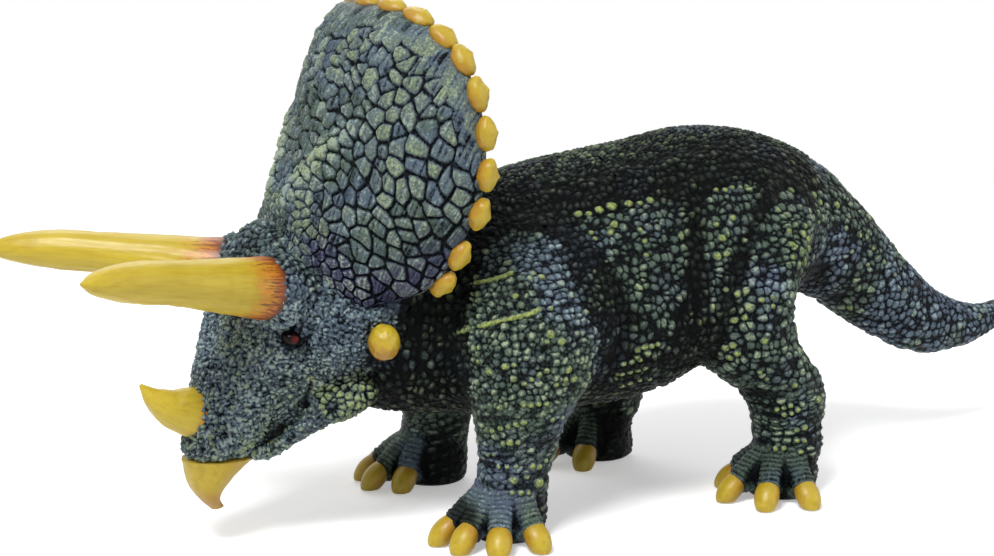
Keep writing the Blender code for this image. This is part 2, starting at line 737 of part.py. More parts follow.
def centre_on_ground(pieces):
    """Moves all pieces so that the middle of the figure's box stands on the origin."""
    points = np.array([vert.co for piece in pieces for vert in piece.data.vertices])
    middle = (points.min(axis=0) + points.max(axis=0)) / 2
    for piece in pieces:
        piece.location = (-middle[0], -middle[1], -points[:, 2].min())


def finish(obj):
    drop_crumbs(obj)
    obj.data.shade_smooth()
    obj.data.set_sharp_from_angle(angle=SHARP_ANGLE)


def build():
    for old in list(bpy.data.objects):
        bpy.data.objects.remove(old, do_unlink=True)
    skin = material("painted_skin", SKIN_COLOUR, 0.45)
    horn = material("ochre_horn", HORN_COLOUR, 0.40)
    gloss = material("eye_gloss", EYE_COLOUR, 0.15)

    body = loft("trunk", trunk(), skin)
    head = loft("head", head_rings(head_shares, HEAD_SIDES, 0.0, RINGS_PER_STEP), skin)
    combine(head, loft("plug", neck_plug(0.0)), "UNION")
    rear = loft("tail", tail(0.0), skin)
    combine(rear, loft("plug", tail_plug(0.0)), "UNION")
    shield = frill(skin)
    jaw = loft("lower_jaw", head_rings(jaw_shares, LIMB_SIDES, 0.0, RINGS_PER_STEP), skin)
    hook = loft("beak", beak(0.0), horn)
    pieces = [body, head, rear, shield, jaw, hook]

    seat(head, loft("cut", head_rings(jaw_shares, LIMB_SIDES, GLUE_GAP, RINGS_PER_STEP)))
    seat(head, frill_plate("cut", GLUE_GAP))
    seat(head, loft("cut", beak(GLUE_GAP)))
    seat(jaw, loft("cut", beak(GLUE_GAP)))
    seat(body, loft("cut", head_rings(jaw_shares, LIMB_SIDES, GLUE_GAP, RINGS_PER_STEP)))
    seat(body, loft("cut", head_rings(head_shares, HEAD_SIDES, GLUE_GAP, RINGS_PER_STEP)))
    seat(body, loft("cut", neck_plug(GLUE_GAP)))
    seat(body, frill_plate("cut", GLUE_GAP))
    seat(body, loft("cut", tail_plug(GLUE_GAP)))

    for side, word in ((-1, "left"), (1, "right")):
        pieces.append(loft("brow_horn_" + word, brow_horn(side, 0.0), horn))
        seat(head, loft("cut", brow_horn(side, GLUE_GAP)))
        seat(shield, loft("cut", brow_horn(side, GLUE_GAP)))
        pieces.append(named(eye(side, 0.0), "eye_" + word, gloss))
        seat(head, eye(side, GLUE_GAP))
        pieces.append(named(cheek_horn(side, 0.0), "cheek_horn_" + word, horn))
        seat(head, cheek_horn(side, GLUE_GAP))
        seat(shield, cheek_horn(side, GLUE_GAP))
    pieces.append(loft("nose_horn", nose_horn(0.0), horn))
    seat(head, loft("cut", nose_horn(GLUE_GAP)))

    for name, shares, toes, place, swing, side in leg_place_shares:
        foot = place * TRUNK_LENGTH
        pieces.append(leg(name, shares, toes, foot, side, swing, skin))
        seat(body, loft("cut", leg_rings(shares, foot, side, swing, GLUE_GAP)))
        seat(body, loft("cut", leg_plug(foot, shares, side, swing, GLUE_GAP)))

    for piece in pieces:
        finish(piece)
    centre_on_ground(pieces)


build()
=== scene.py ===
"""The painted dinosaur figure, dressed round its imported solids.

The skin is one smooth surface round the solids of the body, covered with modelled scales and
folds, and then parted into a piece for each moulding. The frill, its edge studs, the horns,
the beak, the claws and the eyes are surfaces of their own. Lengths are in metres.
"""

import itertools
import math

import bpy
import numpy as np
import openvdb
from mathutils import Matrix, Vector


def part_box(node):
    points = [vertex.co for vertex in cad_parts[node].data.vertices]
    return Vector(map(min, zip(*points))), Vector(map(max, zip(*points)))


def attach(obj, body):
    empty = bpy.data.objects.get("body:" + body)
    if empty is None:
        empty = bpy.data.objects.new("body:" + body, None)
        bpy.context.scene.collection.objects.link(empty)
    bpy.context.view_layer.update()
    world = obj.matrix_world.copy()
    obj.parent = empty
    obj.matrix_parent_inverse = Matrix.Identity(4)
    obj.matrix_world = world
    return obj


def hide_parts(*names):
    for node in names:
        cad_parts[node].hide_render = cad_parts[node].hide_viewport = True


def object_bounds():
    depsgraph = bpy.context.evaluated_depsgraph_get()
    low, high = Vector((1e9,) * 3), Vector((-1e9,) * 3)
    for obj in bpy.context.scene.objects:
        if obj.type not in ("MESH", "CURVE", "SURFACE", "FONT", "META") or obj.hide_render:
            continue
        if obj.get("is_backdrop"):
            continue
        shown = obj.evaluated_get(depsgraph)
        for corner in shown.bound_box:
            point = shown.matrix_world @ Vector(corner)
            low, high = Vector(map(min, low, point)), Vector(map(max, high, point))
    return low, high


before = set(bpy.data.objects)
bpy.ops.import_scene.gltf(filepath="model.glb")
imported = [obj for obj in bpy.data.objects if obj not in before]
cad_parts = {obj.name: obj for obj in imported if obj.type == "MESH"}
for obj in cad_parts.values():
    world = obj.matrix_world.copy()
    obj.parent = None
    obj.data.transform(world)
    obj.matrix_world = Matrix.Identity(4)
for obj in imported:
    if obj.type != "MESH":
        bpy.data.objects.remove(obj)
cad_low, cad_high = (list(corner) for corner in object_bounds())

# The camera that the photograph was taken from
CAMERA_TURN = math.radians(-26.79)
CAMERA_RISE = math.radians(11.99)
CAMERA_DISTANCE = 0.644
CAMERA_TARGET = np.array([-0.03041, 0.0, 0.06213])
CAMERA_LENS = 87.34
SENSOR = 36.0

# Sizes that the separate pieces follow, as in the part's source
HEAD_LENGTH = 0.060
HEAD_WIDTH = 0.043
TRUNK_LENGTH = 0.100
STANCE_WIDTH = 0.0552
FRILL_HEIGHT = 0.055
FRILL_WIDTH = 0.0792
FRILL_THICKNESS = 0.0048
STUD_LENGTH = 0.0066
STUD_RISE = 0.0072
STUD_THICKNESS = 0.0054
BROW_HORN_LENGTH = 0.0585
BROW_HORN_SPREAD = 0.082
BROW_HORN_RADIUS = 0.0076
BROW_HORN_ROOT_SPACING = 0.026
BROW_HORN_REACH_SHARE = 0.98
HORN_SINK_SHARE = 0.05
NOSE_HORN_LENGTH = 0.0198
NOSE_HORN_RADIUS = 0.0070
BEAK_HEIGHT = 0.0145
BEAK_LENGTH = 0.0195
BEAK_WIDTH = 0.0160
TOE_WIDTH = 0.0088
TOE_HEIGHT = 0.0098
TOE_START = 0.0040
TOE_START_RISE = 0.0022
TOE_END_INSET = 0.0012
TOE_END_RISE = 0.0034
TOE_RUN_SHARE = 1.28
TOE_HALF_SHARE = 0.44
NAIL_LENGTH = 0.0074
NAIL_WIDTH = 0.0068
NAIL_HEIGHT = 0.0078
NAIL_MIDDLE_SHARE = 0.42
NAIL_RISE_SHARE = 0.60
NAIL_LEAN = 0.50

# Places on the head from the neck joint, in head lengths
crown_shares = (-0.535, 0.0, 0.415)
brow_horn_root_shares = (-0.560, 0.0, 0.175)
nose_horn_root_shares = (-0.785, 0.0, -0.393)
beak_root_shares = (-0.897, 0.0, -0.578)
eye_place_shares = (-0.500, 0.0, -0.030)
nose_horn_way = (-0.87, 0.0, 0.50)


def solid_box(node):
    """The middle of a solid's box, and half of each of its sizes."""
    low, high = (np.array(corner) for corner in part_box(node))
    return (high + low) / 2, (high - low) / 2


def on_head(shares):
    """A place on the head from its shares of the head's length."""
    return NECK_JOINT + HEAD_LENGTH * np.array(shares)


# The part's source centres the figure by its box, so the joint is found from an eye's place.
EYE = solid_box("eye_left")[0]
NECK_JOINT = EYE * (1, 0, 1) - HEAD_LENGTH * np.array(eye_place_shares)
CROWN = on_head(crown_shares)
TRUNK_MIDDLE = NECK_JOINT[0] + 0.60 * TRUNK_LENGTH

# Frill edge and root from the top centre outward, as in the part's source
frill_edge_shares = (
    (0.538, 0.000, 0.996), (0.576, 0.303, 0.989), (0.636, 0.525, 0.948),
    (0.700, 0.717, 0.862), (0.748, 0.864, 0.762), (0.784, 0.957, 0.611),
    (0.806, 1.000, 0.442), (0.808, 0.995, 0.260), (0.790, 0.930, 0.082),
    (0.727, 0.813, -0.116), (0.684, 0.697, -0.251), (0.600, 0.565, -0.316),
)
frill_root_shares = (
    (0.065, 0.000, 0.010), (0.067, 0.190, 0.008), (0.070, 0.350, -0.010),
    (0.075, 0.490, -0.037), (0.082, 0.605, -0.067), (0.105, 0.700, -0.100),
    (0.125, 0.770, -0.133), (0.167, 0.815, -0.175), (0.208, 0.850, -0.217),
    (0.250, 0.875, -0.267), (0.300, 0.885, -0.308), (0.350, 0.885, -0.342),
)
frill_facing_shares = (
    (0.0, -0.880, 0.000, 0.475), (0.3, -0.750, 0.565, 0.343),
    (0.6, -0.535, 0.845, 0.000), (1.0, -0.450, 0.880, -0.150),
)
FRILL_BULGE_SHARE = 0.078
FRILL_SIDE_BULGE_SHARE = 0.02
FRILL_BULGE_POWER = 2.3
STUDS_PER_SIDE = 10
STUD_SINK_SHARE = 0.04
STUD_SHIFT_SHARE = 0.13

# Horn profiles: place along the horn, radius, and how far it sags below its chord
brow_horn_shares = (
    (0.00, 1.00, 0.00), (0.15, 0.97, 0.25), (0.35, 0.84, 0.70), (0.55, 0.71, 1.00),
    (0.72, 0.67, 0.90), (0.85, 0.53, 0.60), (0.94, 0.35, 0.25), (1.00, 0.07, 0.00),
)
nose_horn_shares = (
    (0.00, 1.00, 0.00), (0.25, 0.90, 0.55), (0.50, 0.69, 1.00),
    (0.75, 0.42, 0.80), (0.92, 0.18, 0.30), (1.00, 0.06, 0.00),
)
# Beak, from its top down: how far ahead and how high its front lies, the same for its rear,
# and half its width
beak_shares = (
    (0.006, 0.00, 1.000, 0.00, 0.50), (0.030, -0.20, 0.800, -0.20, 0.46),
    (0.066, -0.40, 0.625, -0.42, 0.40), (0.136, -0.60, 0.515, -0.62, 0.32),
    (0.248, -0.79, 0.490, -0.78, 0.23), (0.372, -0.95, 0.545, -0.91, 0.12),
)

# Feet: the place of each in trunk lengths, its side, and its toes, each with the way that it
# points in degrees from straight ahead and how far out its nail stands
front_toes = ((-33, 0.0128), (-4, 0.0170), (25, 0.0168), (58, 0.0166), (98, 0.0145))
rear_toes = ((-48, 0.0138), (0, 0.0153), (45, 0.0150), (90, 0.0143))
foot_shares = {
    "front_left_leg": (-0.36, -1, front_toes),
    "front_right_leg": (-0.318, 1, front_toes),
    "rear_left_leg": (0.485, -1, rear_toes),
    "rear_right_leg": (0.215, 1, rear_toes),
}

# The grid that the skin is found on
VOXEL = 0.0008
BAND = 12
ROOM = 0.004
SKIN_NODES = (
    "trunk", "tail", "head", "lower_jaw",
    "front_left_leg", "front_right_leg", "rear_left_leg", "rear_right_leg",
)

# How far the skin's fillets and collars reach, and where a leg is cut round at its ankle
HEAD_FILLET = 0.006
JAW_FILLET = 0.0012
LEG_FILLET = 0.0055
TOE_FILLET = 0.0012
COLLAR_FILLET = 0.0020
COLLAR_LENGTH_SHARE = 1.05
COLLAR_WIDTH_SHARE = 1.24
COLLAR_SINK_SHARE = 0.04
COLLAR_RISE_SHARE = 0.15
SOFTENING_PASSES = 4
TAIL_TIP_START = 0.130
ANKLE_SHIFT = 0.0008
ANKLE_RADIUS = 0.0100
ANKLE_FLARE = 0.030
ankle_heights = (0.011, 0.026)


def through(stations, places):
    """A smooth curve through a table's rows, which lie evenly from place 0 to 1: between two
    rows it is the cubic whose slope at each is half the step from the row before to the next."""
    rows = np.array(stations, float)
    around = np.vstack([2 * rows[0] - rows[1], rows, 2 * rows[-1] - rows[-2]])
    slopes = (around[2:] - around[:-2]) / 2
    where = np.clip(places, 0.0, 1.0) * (len(rows) - 1)
    low = np.minimum(where.astype(int), len(rows) - 2)
    t = (where - low)[..., None]
    from_low = (2 * t**3 - 3 * t**2 + 1) * rows[low] + (t**3 - 2 * t**2 + t) * slopes[low]
    return from_low + (3 * t**2 - 2 * t**3) * rows[low + 1] + (t**3 - t**2) * slopes[low + 1]


def soft_step(low, high, values):
    """0 below low and 1 above high, with 3t² - 2t³ between."""
    t = np.clip((values - low) / (high - low), 0.0, 1.0)
    return t * t * (3 - 2 * t)


def hill(distance, width):
    """A bell that is 1 at distance 0 and falls as e to the minus square of distance over width."""
    return np.exp(-((distance / width) ** 2))


def chance(cells, seed):
    """A fixed number from 0 to 1 for each lattice cell: its whole coordinates times large odd
    numbers, mixed by shifts and products."""
    mixed = np.full(cells.shape[:-1], seed * 747796405 % 4294967296, np.uint32)
    for axis, factor in enumerate((73856093, 19349663, 83492791)[: cells.shape[-1]]):
        mixed ^= cells[..., axis].astype(np.int32).view(np.uint32) * np.uint32(factor)
    mixed ^= mixed >> np.uint32(15)
    mixed *= np.uint32(2246822519)
    mixed ^= mixed >> np.uint32(13)
    mixed *= np.uint32(3266489917)
    mixed ^= mixed >> np.uint32(16)
    return mixed.astype(np.float32) * np.float32(1 / 4294967296)


def drift(points, size, seed, layers=1):
    """Smooth noise from -1 to 1: lattice numbers blended between cell corners, with each
    further layer half as large and half as strong."""
    total = np.zeros(len(points), np.float32)
    strength = 1.0
    for layer in range(layers):
        scaled = points * (2**layer / size)
        cell = np.floor(scaled)
        t = (scaled - cell).astype(np.float32)
        t = t * t * (3 - 2 * t)
        value = np.zeros(len(points), np.float32)
        for corner in itertools.product((0, 1), repeat=points.shape[1]):
            weight = np.prod(np.where(corner, t, 1 - t), axis=1)
            value += weight * chance(cell + corner, seed + layer)
        total += strength * (2 * value - 1)
        strength /= 2
    return total


def cells(points, size, seed, loose):
    """Cellular pattern: one seed point stands in each lattice cell of the given size, moved by
    the share loose. Returns how near the closest border is (0 on it), the cell's number and
    how far its seed point is, both distances in cells."""
    scaled = points / np.array(size)
    base = np.floor(scaled)
    near = np.full(len(points), 99.0, np.float32)
    second = near.copy()
    number = np.zeros(len(points), np.float32)
    for step in itertools.product((-1, 0, 1), repeat=points.shape[1]):
        cell = base + step
        gap = np.zeros(len(points), np.float32)
        for axis in range(points.shape[1]):
            place = cell[:, axis] + 0.5 + loose * (chance(cell, seed + 7 * axis) - 0.5)
            gap += (scaled[:, axis] - place).astype(np.float32) ** 2
        closer = gap < near
        second = np.where(closer, near, np.minimum(second, gap))
        number = np.where(closer, chance(cell, seed + 91), number)
        near = np.minimum(near, gap)
    return np.sqrt(second) - np.sqrt(near), number, np.sqrt(near)


def bend(points, size, seeds, layers=1):
    """A way to move each point by: a drift along each axis, each with its own seed."""
    return np.stack([drift(points, size, seed, layers) for seed in seeds], 1)


def mesh_object(name, points, faces):
    """A mesh piece at the origin from whole arrays of points and of faces with four corners,
    shaded smooth. A face that names its last corner twice has only three."""
    three = faces[:, 2] == faces[:, 3]
    counts = np.where(three, 3, 4)
    used = np.ones(faces.shape, bool)
    used[three, 3] = False
    mesh = bpy.data.meshes.new(name)
    mesh.vertices.add(len(points))
    mesh.vertices.foreach_set("co", np.ascontiguousarray(points, np.float32).ravel())
    mesh.loops.add(int(counts.sum()))
    mesh.loops.foreach_set("vertex_index", faces[used].astype(np.int32))
    mesh.polygons.add(len(faces))
    starts = np.concatenate([[0], np.cumsum(counts)[:-1]]).astype(np.int32)
    mesh.polygons.foreach_set("loop_start", starts)
    mesh.update(calc_edges=True)
    mesh.shade_smooth()
    made = bpy.data.objects.new(name, mesh)
    bpy.context.scene.collection.objects.link(made)
    return made


def read(items, key, width=3, kind=np.float32):
    """One property of all of a mesh's items, as an array with a row for each."""
    values = np.empty(len(items) * width, kind)
    items.foreach_get(key, values)
    return values.reshape(-1, width)


def mark(piece, **values):
    """Stores a number or a vector per point under each given name, for the paint to read."""
    for name, numbers in values.items():
        numbers = np.ascontiguousarray(numbers, np.float32)
        kind, key = ("FLOAT", "value") if numbers.ndim == 1 else ("FLOAT_VECTOR", "vector")
        layer = piece.data.attributes.new(name, kind, "POINT")
        layer.data.foreach_set(key, numbers.ravel())


def outward(points, faces):
    """The faces of a closed piece, all turned over if it encloses less than nothing: the sum
    of the triple products of the corners, from the middle of the piece."""
    place = points - points.mean(axis=0)
    first, second, third, fourth = (place[faces[:, i]] for i in range(4))
    volume = np.einsum("ij,ij->", first, np.cross(second, third) + np.cross(third, fourth))
    return faces if volume > 0 else faces[:, [1, 0, 3, 2]]


def capped_faces(rows, columns):
    """The faces of a grid whose columns run round and close on themselves, with a ring of
    three-cornered ones at each end, which meet in the two points that come after the grid's."""
    index = np.arange(rows * columns).reshape(rows, columns)
    right = np.roll(index, -1, axis=1)
    sides = np.stack([index[:-1], right[:-1], right[1:], index[1:]], axis=-1).reshape(-1, 4)
    first, last = np.full(columns, rows * columns), np.full(columns, rows * columns + 1)
    foot = np.stack([right[0], index[0], first, first], axis=-1)
    top = np.stack([index[-1], right[-1], last, last], axis=-1)
    return np.concatenate([sides, foot, top])


def capped_points(grid):
    """A grid's points row by row, then the middles of its first and its last row."""
    return np.vstack([grid.reshape(-1, 3), grid[0].mean(axis=0), grid[-1].mean(axis=0)])


def closed_tube(name, grid):
    """A piece from a grid of points, rows along it and columns round it, with closed ends."""
    points = capped_points(grid)
    return mesh_object(name, points, outward(points, capped_faces(*grid.shape[:2])))


def merged(name, grids, places):
    """One piece from several closed grids of one size, with a place number for each point."""
    faces = capped_faces(*grids[0].shape[:2])
    points, corners, numbers = [], [], []
    for index, (grid, place) in enumerate(zip(grids, places)):
        whole = capped_points(grid)
        points.append(whole)
        corners.append(outward(whole, faces) + index * len(whole))
        numbers.append(np.concatenate([place.ravel(), [place[0].mean(), place[-1].mean()]]))
    points = np.vstack(points)
    piece = mesh_object(name, points, np.concatenate(corners))
    mark(piece, place=np.concatenate(numbers), grain=points * 900)
    return piece


def roughened(grid, centre, radius, height, size, seed, stretch=1.0):
    """A grid moved away from its centre by noise of the given height and size."""
    bumps = drift(grid.reshape(-1, 3) * stretch, size, seed, 2).reshape(*grid.shape[:2], 1)
    return grid + bumps * height * (grid - centre) / radius


# The skin's grid: the box round the body's solids, with some room
skin_corners = np.array([[list(corner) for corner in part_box(node)] for node in SKIN_NODES])
grid_low = np.floor((skin_corners.min(axis=(0, 1)) - ROOM) / VOXEL).astype(int)
grid_high = np.ceil((skin_corners.max(axis=(0, 1)) + ROOM) / VOXEL).astype(int)
GRID_START = tuple(int(low) for low in grid_low)
GRID_SHAPE = tuple(grid_high - grid_low + 1)
TRANSFORM = openvdb.createLinearTransform(voxelSize=VOXEL)
FAR = BAND * VOXEL
axis_x, axis_y, axis_z = (
    ((np.arange(count) + low) * VOXEL).astype(np.float32)
    for count, low in zip(GRID_SHAPE, grid_low)
)


def distance_field(node):
    """How far each grid point lies from a solid's surface, negative inside, up to FAR."""
    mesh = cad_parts[node].data
    mesh.calc_loop_triangles()
    grid = openvdb.FloatGrid.createLevelSetFromPolygons(
        read(mesh.vertices, "co"),
        triangles=read(mesh.loop_triangles, "vertices", 3, np.int32).astype(np.uint32),
        transform=TRANSFORM,
        halfWidth=float(BAND),
    )
    out = np.full(GRID_SHAPE, FAR, np.float32)
    grid.copyToArray(out, ijk=GRID_START)
    return out


def joined(first, second, blend):
    """Smooth union of two fields: the smaller, less a fillet that is a quarter of the blend
    deep where both are equal and ends where they differ by the blend."""
    near = np.maximum(blend - np.abs(first - second), 0) / blend
    return np.minimum(first, second) - near * near * (blend / 4)


def softened(field, passes):
    """The field averaged with its neighbours, a half weight on itself, along each axis."""
    for _ in range(passes):
        for axis in range(3):
            before = np.take(field, [0], axis)
            after = np.take(field, [-1], axis)
            padded = np.concatenate([before, field, after], axis)
            inner = [slice(None)] * 3
            left, right = list(inner), list(inner)
            left[axis], right[axis] = slice(None, -2), slice(2, None)
            field = field / 2 + (padded[tuple(left)] + padded[tuple(right)]) / 4
    return field


def egg(field, centre, axes, blend):
    """Joins an egg to the field. Its distance is taken as k(k - 1) / g, with k the length of
    the place in half axes, and g that of its slope."""
    centre = np.array(centre)
    axes = np.array(axes, float)
    sizes = np.linalg.norm(axes, axis=1)
    ways = axes / sizes[:, None]
    reach = sizes.max() + 2 * blend + 2 * VOXEL
    spans = []
    for axis, line in enumerate((axis_x, axis_y, axis_z)):
        low = np.searchsorted(line, centre[axis] - reach)
        spans.append(slice(low, np.searchsorted(line, centre[axis] + reach)))
    near = np.stack(
        np.meshgrid(axis_x[spans[0]], axis_y[spans[1]], axis_z[spans[2]], indexing="ij"), -1
    )
    local = (near - centre) @ ways.T
    k = np.linalg.norm(local / sizes, axis=-1)
    g = np.maximum(np.linalg.norm(local / sizes**2, axis=-1), 1e-6)
    distance = (k * (k - 1) / g).astype(np.float32)
    field[tuple(spans)] = joined(field[tuple(spans)], distance, blend)


def foot_middle(leg):
    """Where a leg's middle meets the ground."""
    place, side, _ = foot_shares[leg]
    return np.array([place * TRUNK_LENGTH + TRUNK_MIDDLE, side * STANCE_WIDTH / 2, 0.0])


def toe_places(leg):
    """Where a leg's toes and nails stand: for each toe its ways out and across, and the centres
    and half axes of the toe, which slopes down from the ankle, and of the nail, which leans
    back over the toe."""
    middle = foot_middle(leg)
    side, toes = foot_shares[leg][1:]
    up = np.array([0.0, 0.0, 1.0])
    for degrees, reach in toes:
        angle = math.radians(degrees)
        out = np.array([-math.cos(angle), side * math.sin(angle), 0.0])
        across = np.cross(out, up)
        start = middle + out * TOE_START + up * (TOE_HEIGHT + TOE_START_RISE)
        run = (middle + out * (reach - TOE_END_INSET) + up * TOE_END_RISE - start) / 2
        rise = np.cross(across, run)
        rise = rise / np.linalg.norm(rise) * TOE_HEIGHT * TOE_HALF_SHARE
        toe_axes = (run * TOE_RUN_SHARE, across * TOE_WIDTH * TOE_HALF_SHARE, rise)
        nail = middle + out * reach + up * NAIL_HEIGHT * NAIL_MIDDLE_SHARE
        back = (up - out * NAIL_LEAN) * NAIL_HEIGHT * NAIL_RISE_SHARE
        nail_axes = (out * NAIL_LENGTH / 2, across * NAIL_WIDTH / 2, back)
        yield out, across, start + run, toe_axes, nail, nail_axes


def brow_horn(side, rise):
    """A brow horn's root, and the run from there to a tip that rises by a share of its length."""
    root = on_head(brow_horn_root_shares) + (0, side * BROW_HORN_ROOT_SPACING / 2, 0)
    ahead = -BROW_HORN_REACH_SHARE * BROW_HORN_LENGTH
    aside = side * (BROW_HORN_SPREAD - BROW_HORN_ROOT_SPACING) / 2
    return root, np.array([ahead, aside, rise * BROW_HORN_LENGTH])


def horn_roots():
    """The roots of the brow horns and the nose horn, each with the unit way along its horn and
    its radius."""
    for side in (-1, 1):
        root, run = brow_horn(side, COLLAR_RISE_SHARE)
        yield root, run / np.linalg.norm(run), BROW_HORN_RADIUS
    way = np.array(nose_horn_way)
    yield on_head(nose_horn_root_shares), way / np.linalg.norm(way), NOSE_HORN_RADIUS


def skin_base():
    """The bare skin: the body's solids joined with fillets, each leg cut round at its ankle, a
    collar of skin round the root of each horn, toes added, and all of it cut level at the
    ground."""
    fields = {node: distance_field(node) for node in SKIN_NODES}
    field = np.minimum(fields["trunk"], fields["tail"]) - 0.2 * VOXEL
    field = joined(field, fields["head"], HEAD_FILLET)
    field = joined(field, fields["lower_jaw"], JAW_FILLET)
    for leg in foot_shares:
        middle = foot_middle(leg)
        ahead = axis_x[:, None, None] - middle[0] - ANKLE_SHIFT
        away = np.hypot(ahead, axis_y[None, :, None] - middle[1])
        limit = ANKLE_RADIUS + ANKLE_FLARE * soft_step(*ankle_heights, axis_z)
        field = joined(field, np.maximum(fields[leg], away - limit), LEG_FILLET)
    field = softened(field.astype(np.float32), SOFTENING_PASSES)
    tip = fields["tail"] + np.where(axis_x > TAIL_TIP_START, 0.0, FAR)[:, None, None]
    field = np.minimum(field, tip.astype(np.float32))
    for root, way, radius in horn_roots():
        first = np.cross(way, (0.0, 0.0, 1.0))
        second = np.cross(way, first)
        wide = [across * radius * COLLAR_WIDTH_SHARE for across in (first, second)]
        axes = (way * radius * COLLAR_LENGTH_SHARE, *wide)
        egg(field, root - way * radius * COLLAR_SINK_SHARE, axes, COLLAR_FILLET)
    for leg in foot_shares:
        for out, across, toe, toe_axes, nail, nail_axes in toe_places(leg):
            egg(field, toe, toe_axes, TOE_FILLET)
    field = np.maximum(field, -axis_z[None, None, :])
    grid = openvdb.FloatGrid(FAR)
    grid.copyFromArray(field, ijk=GRID_START)
    grid.transform = TRANSFORM
    points, quads = grid.convertToQuads()
    return fields, points, outward(points, quads.astype(np.int64))


def refined_skin(points, quads):
    """Each face parted in four, with its points eased by a subdivision surface."""
    rough = mesh_object("skin_rough", points, quads)
    step = rough.modifiers.new("Parting", "SUBSURF")
    step.levels = step.render_levels = 1
    graph = bpy.context.evaluated_depsgraph_get()
    mesh = rough.evaluated_get(graph).to_mesh()
    fine, normals = read(mesh.vertices, "co"), read(mesh.vertex_normals, "vector")
    faces = read(mesh.loops, "vertex_index", 1, np.int32).reshape(-1, 4)
    bpy.data.objects.remove(rough)
    return fine, faces, normals


def sampled(field, points):
    """A field's values at points, blended between the eight grid points round each."""
    where = points / VOXEL - grid_low
    cell = np.clip(np.floor(where).astype(int), 0, np.array(GRID_SHAPE) - 2)
    t = np.clip(where - cell, 0, 1)
    value = np.zeros(len(points))
    for corner in itertools.product((0, 1), repeat=3):
        weight = np.prod(np.where(corner, t, 1 - t), axis=1)
        at = cell + corner
        value += weight * field[at[:, 0], at[:, 1], at[:, 2]]
    return value


def vertex_normals(name, points, faces):
    """Blender's own vertex normals of a mesh."""
    piece = mesh_object(name, points, faces)
    normals = read(piece.data.vertex_normals, "vector")
    bpy.data.objects.remove(piece)
    return normals


fields, rough_points, rough_quads = skin_base()
skin, skin_faces, skin_normals = refined_skin(rough_points, rough_quads)
nearness = {node: sampled(fields[node], skin) for node in SKIN_NODES}
owner = np.argmin(np.stack([nearness[node] for node in SKIN_NODES]), axis=0)


def share_of(*nodes):
    """How far each skin point belongs to the nodes: 1 well inside their skin, 0 well outside,
    and a smooth step of 3 mm each way where another node's solid is as near."""
    own = np.min([nearness[node] for node in nodes], axis=0)
    others = np.min([nearness[node] for node in SKIN_NODES if node not in nodes], axis=0)
    return soft_step(-0.003, 0.003, others - own)


class Relief:
    """The modelled surface of the skin. Each point has its height over the bare skin, how much
    paint a dry brush leaves on it with painted highlight, how lime, dark and blue its paint is,
    how far the dark airbrushed paint and painted shade spare it, and its scale's own number."""

    def __init__(self, count):
        self.height, self.brushed, self.lime = np.zeros((3, count), np.float32)
        self.dark, self.blue, self.spared = np.zeros((3, count), np.float32)
        self.number = np.full(count, 0.5, np.float32)

    def lay_at(self, there, weight, height, brushed, number):
        """Blends a pattern in at some of the points, by its weight."""
        self.height[there] += weight * height
        self.brushed[there] += weight * brushed
        self.number[there] += weight * (number - self.number[there])


def bent_cells(points, size, seed, loose, warp):
    """Cells of the size, bent by smooth noise that is 2.5 times as large."""
    size = np.array(size)
    way = bend(points, 2.5 * size.max(), (seed, seed + 31, seed + 62))
    return cells(points + way * size * warp, size, seed, loose)


def scales(points, size, seed, groove, warp=0.25):
    """Rounded scales, one to a bent cell. Their height rises from 0 on the border to about 1 in
    the middle by a smooth step, as wide as the groove, and a root."""
    border, number, _ = bent_cells(points, size, seed, 0.85, warp)
    dome = soft_step(0.0, groove, border) * (0.65 + 0.35 * np.sqrt(np.clip(border, 0, 1)))
    return dome, number


def pebbles(points, size, seed, fill, loose=0.7, warp=0.25):
    """Round pebbles, one to a bent cell. Each is a dome, the root of 1 less the square of the
    distance over its own radius, and ends short of its border."""
    border, number, near = bent_cells(points, size, seed, loose, warp)
    reach = near / (fill * (0.78 + 0.36 * number))
    dome = np.sqrt(np.clip(1 - reach**2, 0, 1)) * soft_step(0.0, 0.24, border)
    return dome, number


def raised(height, dome, number):
    """Domes of the given height, each made higher or lower by its number."""
    return height * dome * (0.6 + 0.6 * number)


def brushed_and_lit_tops(dome, number):
    """How much paint a brush leaves on domes, with painted highlight, most on the tops of those
    with a high number.
    """
    return dome**1.6 * (0.45 + 0.55 * number)


def polyline_gap(points, line):
    """Distance from points in a plane to a line of straight runs, and the place along it."""
    line = np.array(line)
    best = np.full(len(points), 9.0)
    place = np.zeros(len(points))
    lengths = np.linalg.norm(np.diff(line, axis=0), axis=1)
    starts = np.concatenate([[0], np.cumsum(lengths)])
    for i in range(len(line) - 1):
        step = line[i + 1] - line[i]
        t = np.clip((points - line[i]) @ step / (step @ step), 0, 1)
        gap = np.linalg.norm(points - line[i] - t[:, None] * step, axis=1)
        closer = gap < best
        place = np.where(closer, starts[i] + t * lengths[i], place)
        best = np.minimum(best, gap)
    return best, place / starts[-1]


# Places and sizes on the skin, in metres. The lines give along and height, as seen from the
# left side.
mouth_line = ((-0.1065, 0.0225), (-0.1023, 0.0258), (-0.0965, 0.0304), (-0.0929, 0.0334),
              (-0.0903, 0.0372), (-0.0891, 0.0420), (-0.0899, 0.0462))
jaw_muscle = (-0.0805, 0.0392)
JAW_MUSCLE_LENGTH = 0.0092
JAW_MUSCLE_HEIGHT = 0.0068
NOSTRIL = np.array([-0.1117, 0.0093, 0.0305])
NOSTRIL_LENGTH = 0.0022
NOSTRIL_HEIGHT = 0.0017
EYE_OPENING_LENGTH = 0.0022
EYE_OPENING_HEIGHT = 0.00145
EYE_INNER_SIDE = 0.008
BROW_LENGTH = 0.006
BROW_HEIGHT = 0.0016
BROW_RISE = 0.0048
BROW_BACK = 0.0005
BROW_INNER_SIDE = 0.006
NECK_SHADE_PLACE = -0.0640
NECK_SHADE_WIDTH = 0.0115
THROAT_SHADE_PLACE = -0.0680
